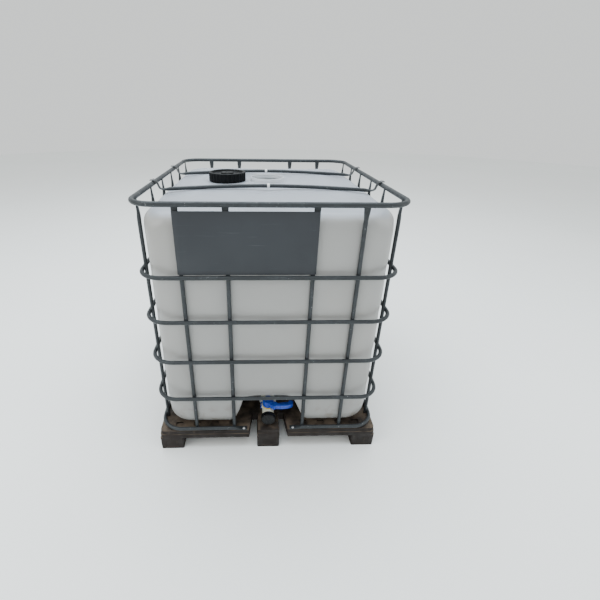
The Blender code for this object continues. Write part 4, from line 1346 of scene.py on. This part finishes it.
def make_stage():
    deselect_all()
    bpy.ops.mesh.primitive_circle_add(vertices=96, radius=14.0, fill_type="NGON")
    floor = added("studio_floor")
    surface = Finish("studio_floor", (0.92, 0.94, 0.93), 0.85)
    cloud = surface.between(surface.noise(0.6), 0.3, 0.7)
    surface.paint(surface.blend(cloud, (0.92, 0.94, 0.93), (0.94, 0.96, 0.95)))
    floor.data.materials.append(surface.material)
    world = bpy.data.worlds.new("pale_room")
    world.use_nodes = True
    world.node_tree.nodes["Background"].inputs["Color"].default_value = (0.95, 0.98, 0.97, 1.0)
    world.node_tree.nodes["Background"].inputs["Strength"].default_value = 1.05
    bpy.context.scene.world = world
    soft_light("top_light", (-0.3, 0.5, 5.0), 6.0, 420.0, (0.86, 0.94, 1.0))
    soft_light("left_light", (-3.4, -2.4, 2.6), 2.4, 55.0, (1.0, 0.98, 0.95))
    soft_light("right_light", (3.4, -1.6, 2.2), 2.4, 25.0, (0.96, 0.98, 1.0))
    deselect_all()
    turn = (Matrix.Rotation(-CAMERA_YAW, 4, "Z") @ Matrix.Rotation(pi / 2 - CAMERA_PITCH, 4, "X")
            @ Matrix.Rotation(CAMERA_ROLL, 4, "Z"))
    bpy.ops.object.camera_add(location=CAMERA_PLACE, rotation=turn.to_euler())
    camera = bpy.context.view_layer.objects.active
    camera.data.lens = CAMERA_LENS
    camera.data.sensor_width = 36.0
    camera.data.shift_x, camera.data.shift_y = CAMERA_SHIFT
    camera.data.clip_start = 0.05
    bpy.context.scene.camera = camera


# ---- operators, panel and registration -----------------------------------------------------------
class CONTAINER_OT_pallet(bpy.types.Operator):
    """Model the moulded pallet with its feet, slots and pockets"""
    bl_idname = "container.pallet"
    bl_label = "Pallet"

    def execute(self, context):
        make_pallet()
        return {"FINISHED"}


class CONTAINER_OT_bottle(bpy.types.Operator):
    """Model the blow-moulded bottle with its neck and outlet"""
    bl_idname = "container.bottle"
    bl_label = "Bottle"

    def execute(self, context):
        make_bottle()
        return {"FINISHED"}


class CONTAINER_OT_rings(bpy.types.Operator):
    """Model the four rings and the top rim"""
    bl_idname = "container.rings"
    bl_label = "Rings and rim"

    def execute(self, context):
        make_rings()
        return {"FINISHED"}


class CONTAINER_OT_bottom_rail(bpy.types.Operator):
    """Model the rail on the deck and its screws"""
    bl_idname = "container.bottom_rail"
    bl_label = "Bottom rail"

    def execute(self, context):
        make_bottom_rail()
        return {"FINISHED"}


class CONTAINER_OT_uprights(bpy.types.Operator):
    """Model the upright tubes"""
    bl_idname = "container.uprights"
    bl_label = "Uprights"

    def execute(self, context):
        make_uprights()
        return {"FINISHED"}


class CONTAINER_OT_crossbars(bpy.types.Operator):
    """Model the crossbars over the bottle, their bands and bolts"""
    bl_idname = "container.crossbars"
    bl_label = "Crossbars"

    def execute(self, context):
        make_crossbars()
        return {"FINISHED"}


class CONTAINER_OT_label_plate(bpy.types.Operator):
    """Model the label plate"""
    bl_idname = "container.label_plate"
    bl_label = "Label plate"

    def execute(self, context):
        make_label_plate()
        return {"FINISHED"}


class CONTAINER_OT_lid(bpy.types.Operator):
    """Model the screw lid and its vent plug"""
    bl_idname = "container.lid"
    bl_label = "Lid"

    def execute(self, context):
        make_lid()
        return {"FINISHED"}


class CONTAINER_OT_valve(bpy.types.Operator):
    """Model the outlet valve's tube, nut and dust cap"""
    bl_idname = "container.valve"
    bl_label = "Valve"

    def execute(self, context):
        make_valve_body()
        make_union_nut()
        make_dust_cap()
        return {"FINISHED"}


class CONTAINER_OT_lever(bpy.types.Operator):
    """Model the valve's lever and its latch"""
    bl_idname = "container.lever"
    bl_label = "Lever and latch"

    def execute(self, context):
        make_lever()
        make_latch()
        return {"FINISHED"}


class CONTAINER_OT_inner_parts(bpy.types.Operator):
    """Give the gaskets, the stem and the disc their finishes"""
    bl_idname = "container.inner_parts"
    bl_label = "Inner parts"

    def execute(self, context):
        dress_hidden_nodes()
        return {"FINISHED"}


class CONTAINER_OT_stage(bpy.types.Operator):
    """Add the pale floor, the soft lights and the camera"""
    bl_idname = "container.stage"
    bl_label = "Stage"

    def execute(self, context):
        make_stage()
        return {"FINISHED"}


OPERATORS = (
    CONTAINER_OT_pallet, CONTAINER_OT_bottle, CONTAINER_OT_rings, CONTAINER_OT_bottom_rail,
    CONTAINER_OT_uprights, CONTAINER_OT_crossbars, CONTAINER_OT_label_plate, CONTAINER_OT_lid,
    CONTAINER_OT_valve, CONTAINER_OT_lever, CONTAINER_OT_inner_parts, CONTAINER_OT_stage,
)


class CONTAINER_PT_sidebar(bpy.types.Panel):
    """The container's sizes, colours and pieces"""
    bl_idname = "CONTAINER_PT_sidebar"
    bl_label = "Bulk Container"
    bl_space_type = "VIEW_3D"
    bl_region_type = "UI"
    bl_category = "Container"

    def draw(self, context):
        for group in (context.scene.container_sizes, context.scene.container_colours):
            column = self.layout.column()
            for name in group.__annotations__:
                column.prop(group, name)
        for operator in OPERATORS:
            self.layout.operator(operator.bl_idname)


CLASSES = (ContainerSizes, ContainerColours, *OPERATORS, CONTAINER_PT_sidebar)


def register():
    for item in CLASSES:
        bpy.utils.register_class(item)
    bpy.types.Scene.container_sizes = bpy.props.PointerProperty(type=ContainerSizes)
    bpy.types.Scene.container_colours = bpy.props.PointerProperty(type=ContainerColours)


def unregister():
    del bpy.types.Scene.container_colours
    del bpy.types.Scene.container_sizes
    for item in reversed(CLASSES):
        bpy.utils.unregister_class(item)


def main():
    register()
    bpy.ops.container.pallet()
    bpy.ops.container.bottle()
    bpy.ops.container.rings()
    bpy.ops.container.bottom_rail()
    bpy.ops.container.uprights()
    bpy.ops.container.crossbars()
    bpy.ops.container.label_plate()
    bpy.ops.container.lid()
    bpy.ops.container.valve()
    bpy.ops.container.lever()
    bpy.ops.container.inner_parts()
    bpy.ops.container.stage()
    deselect_all()


if __name__ == "__main__":
    main()
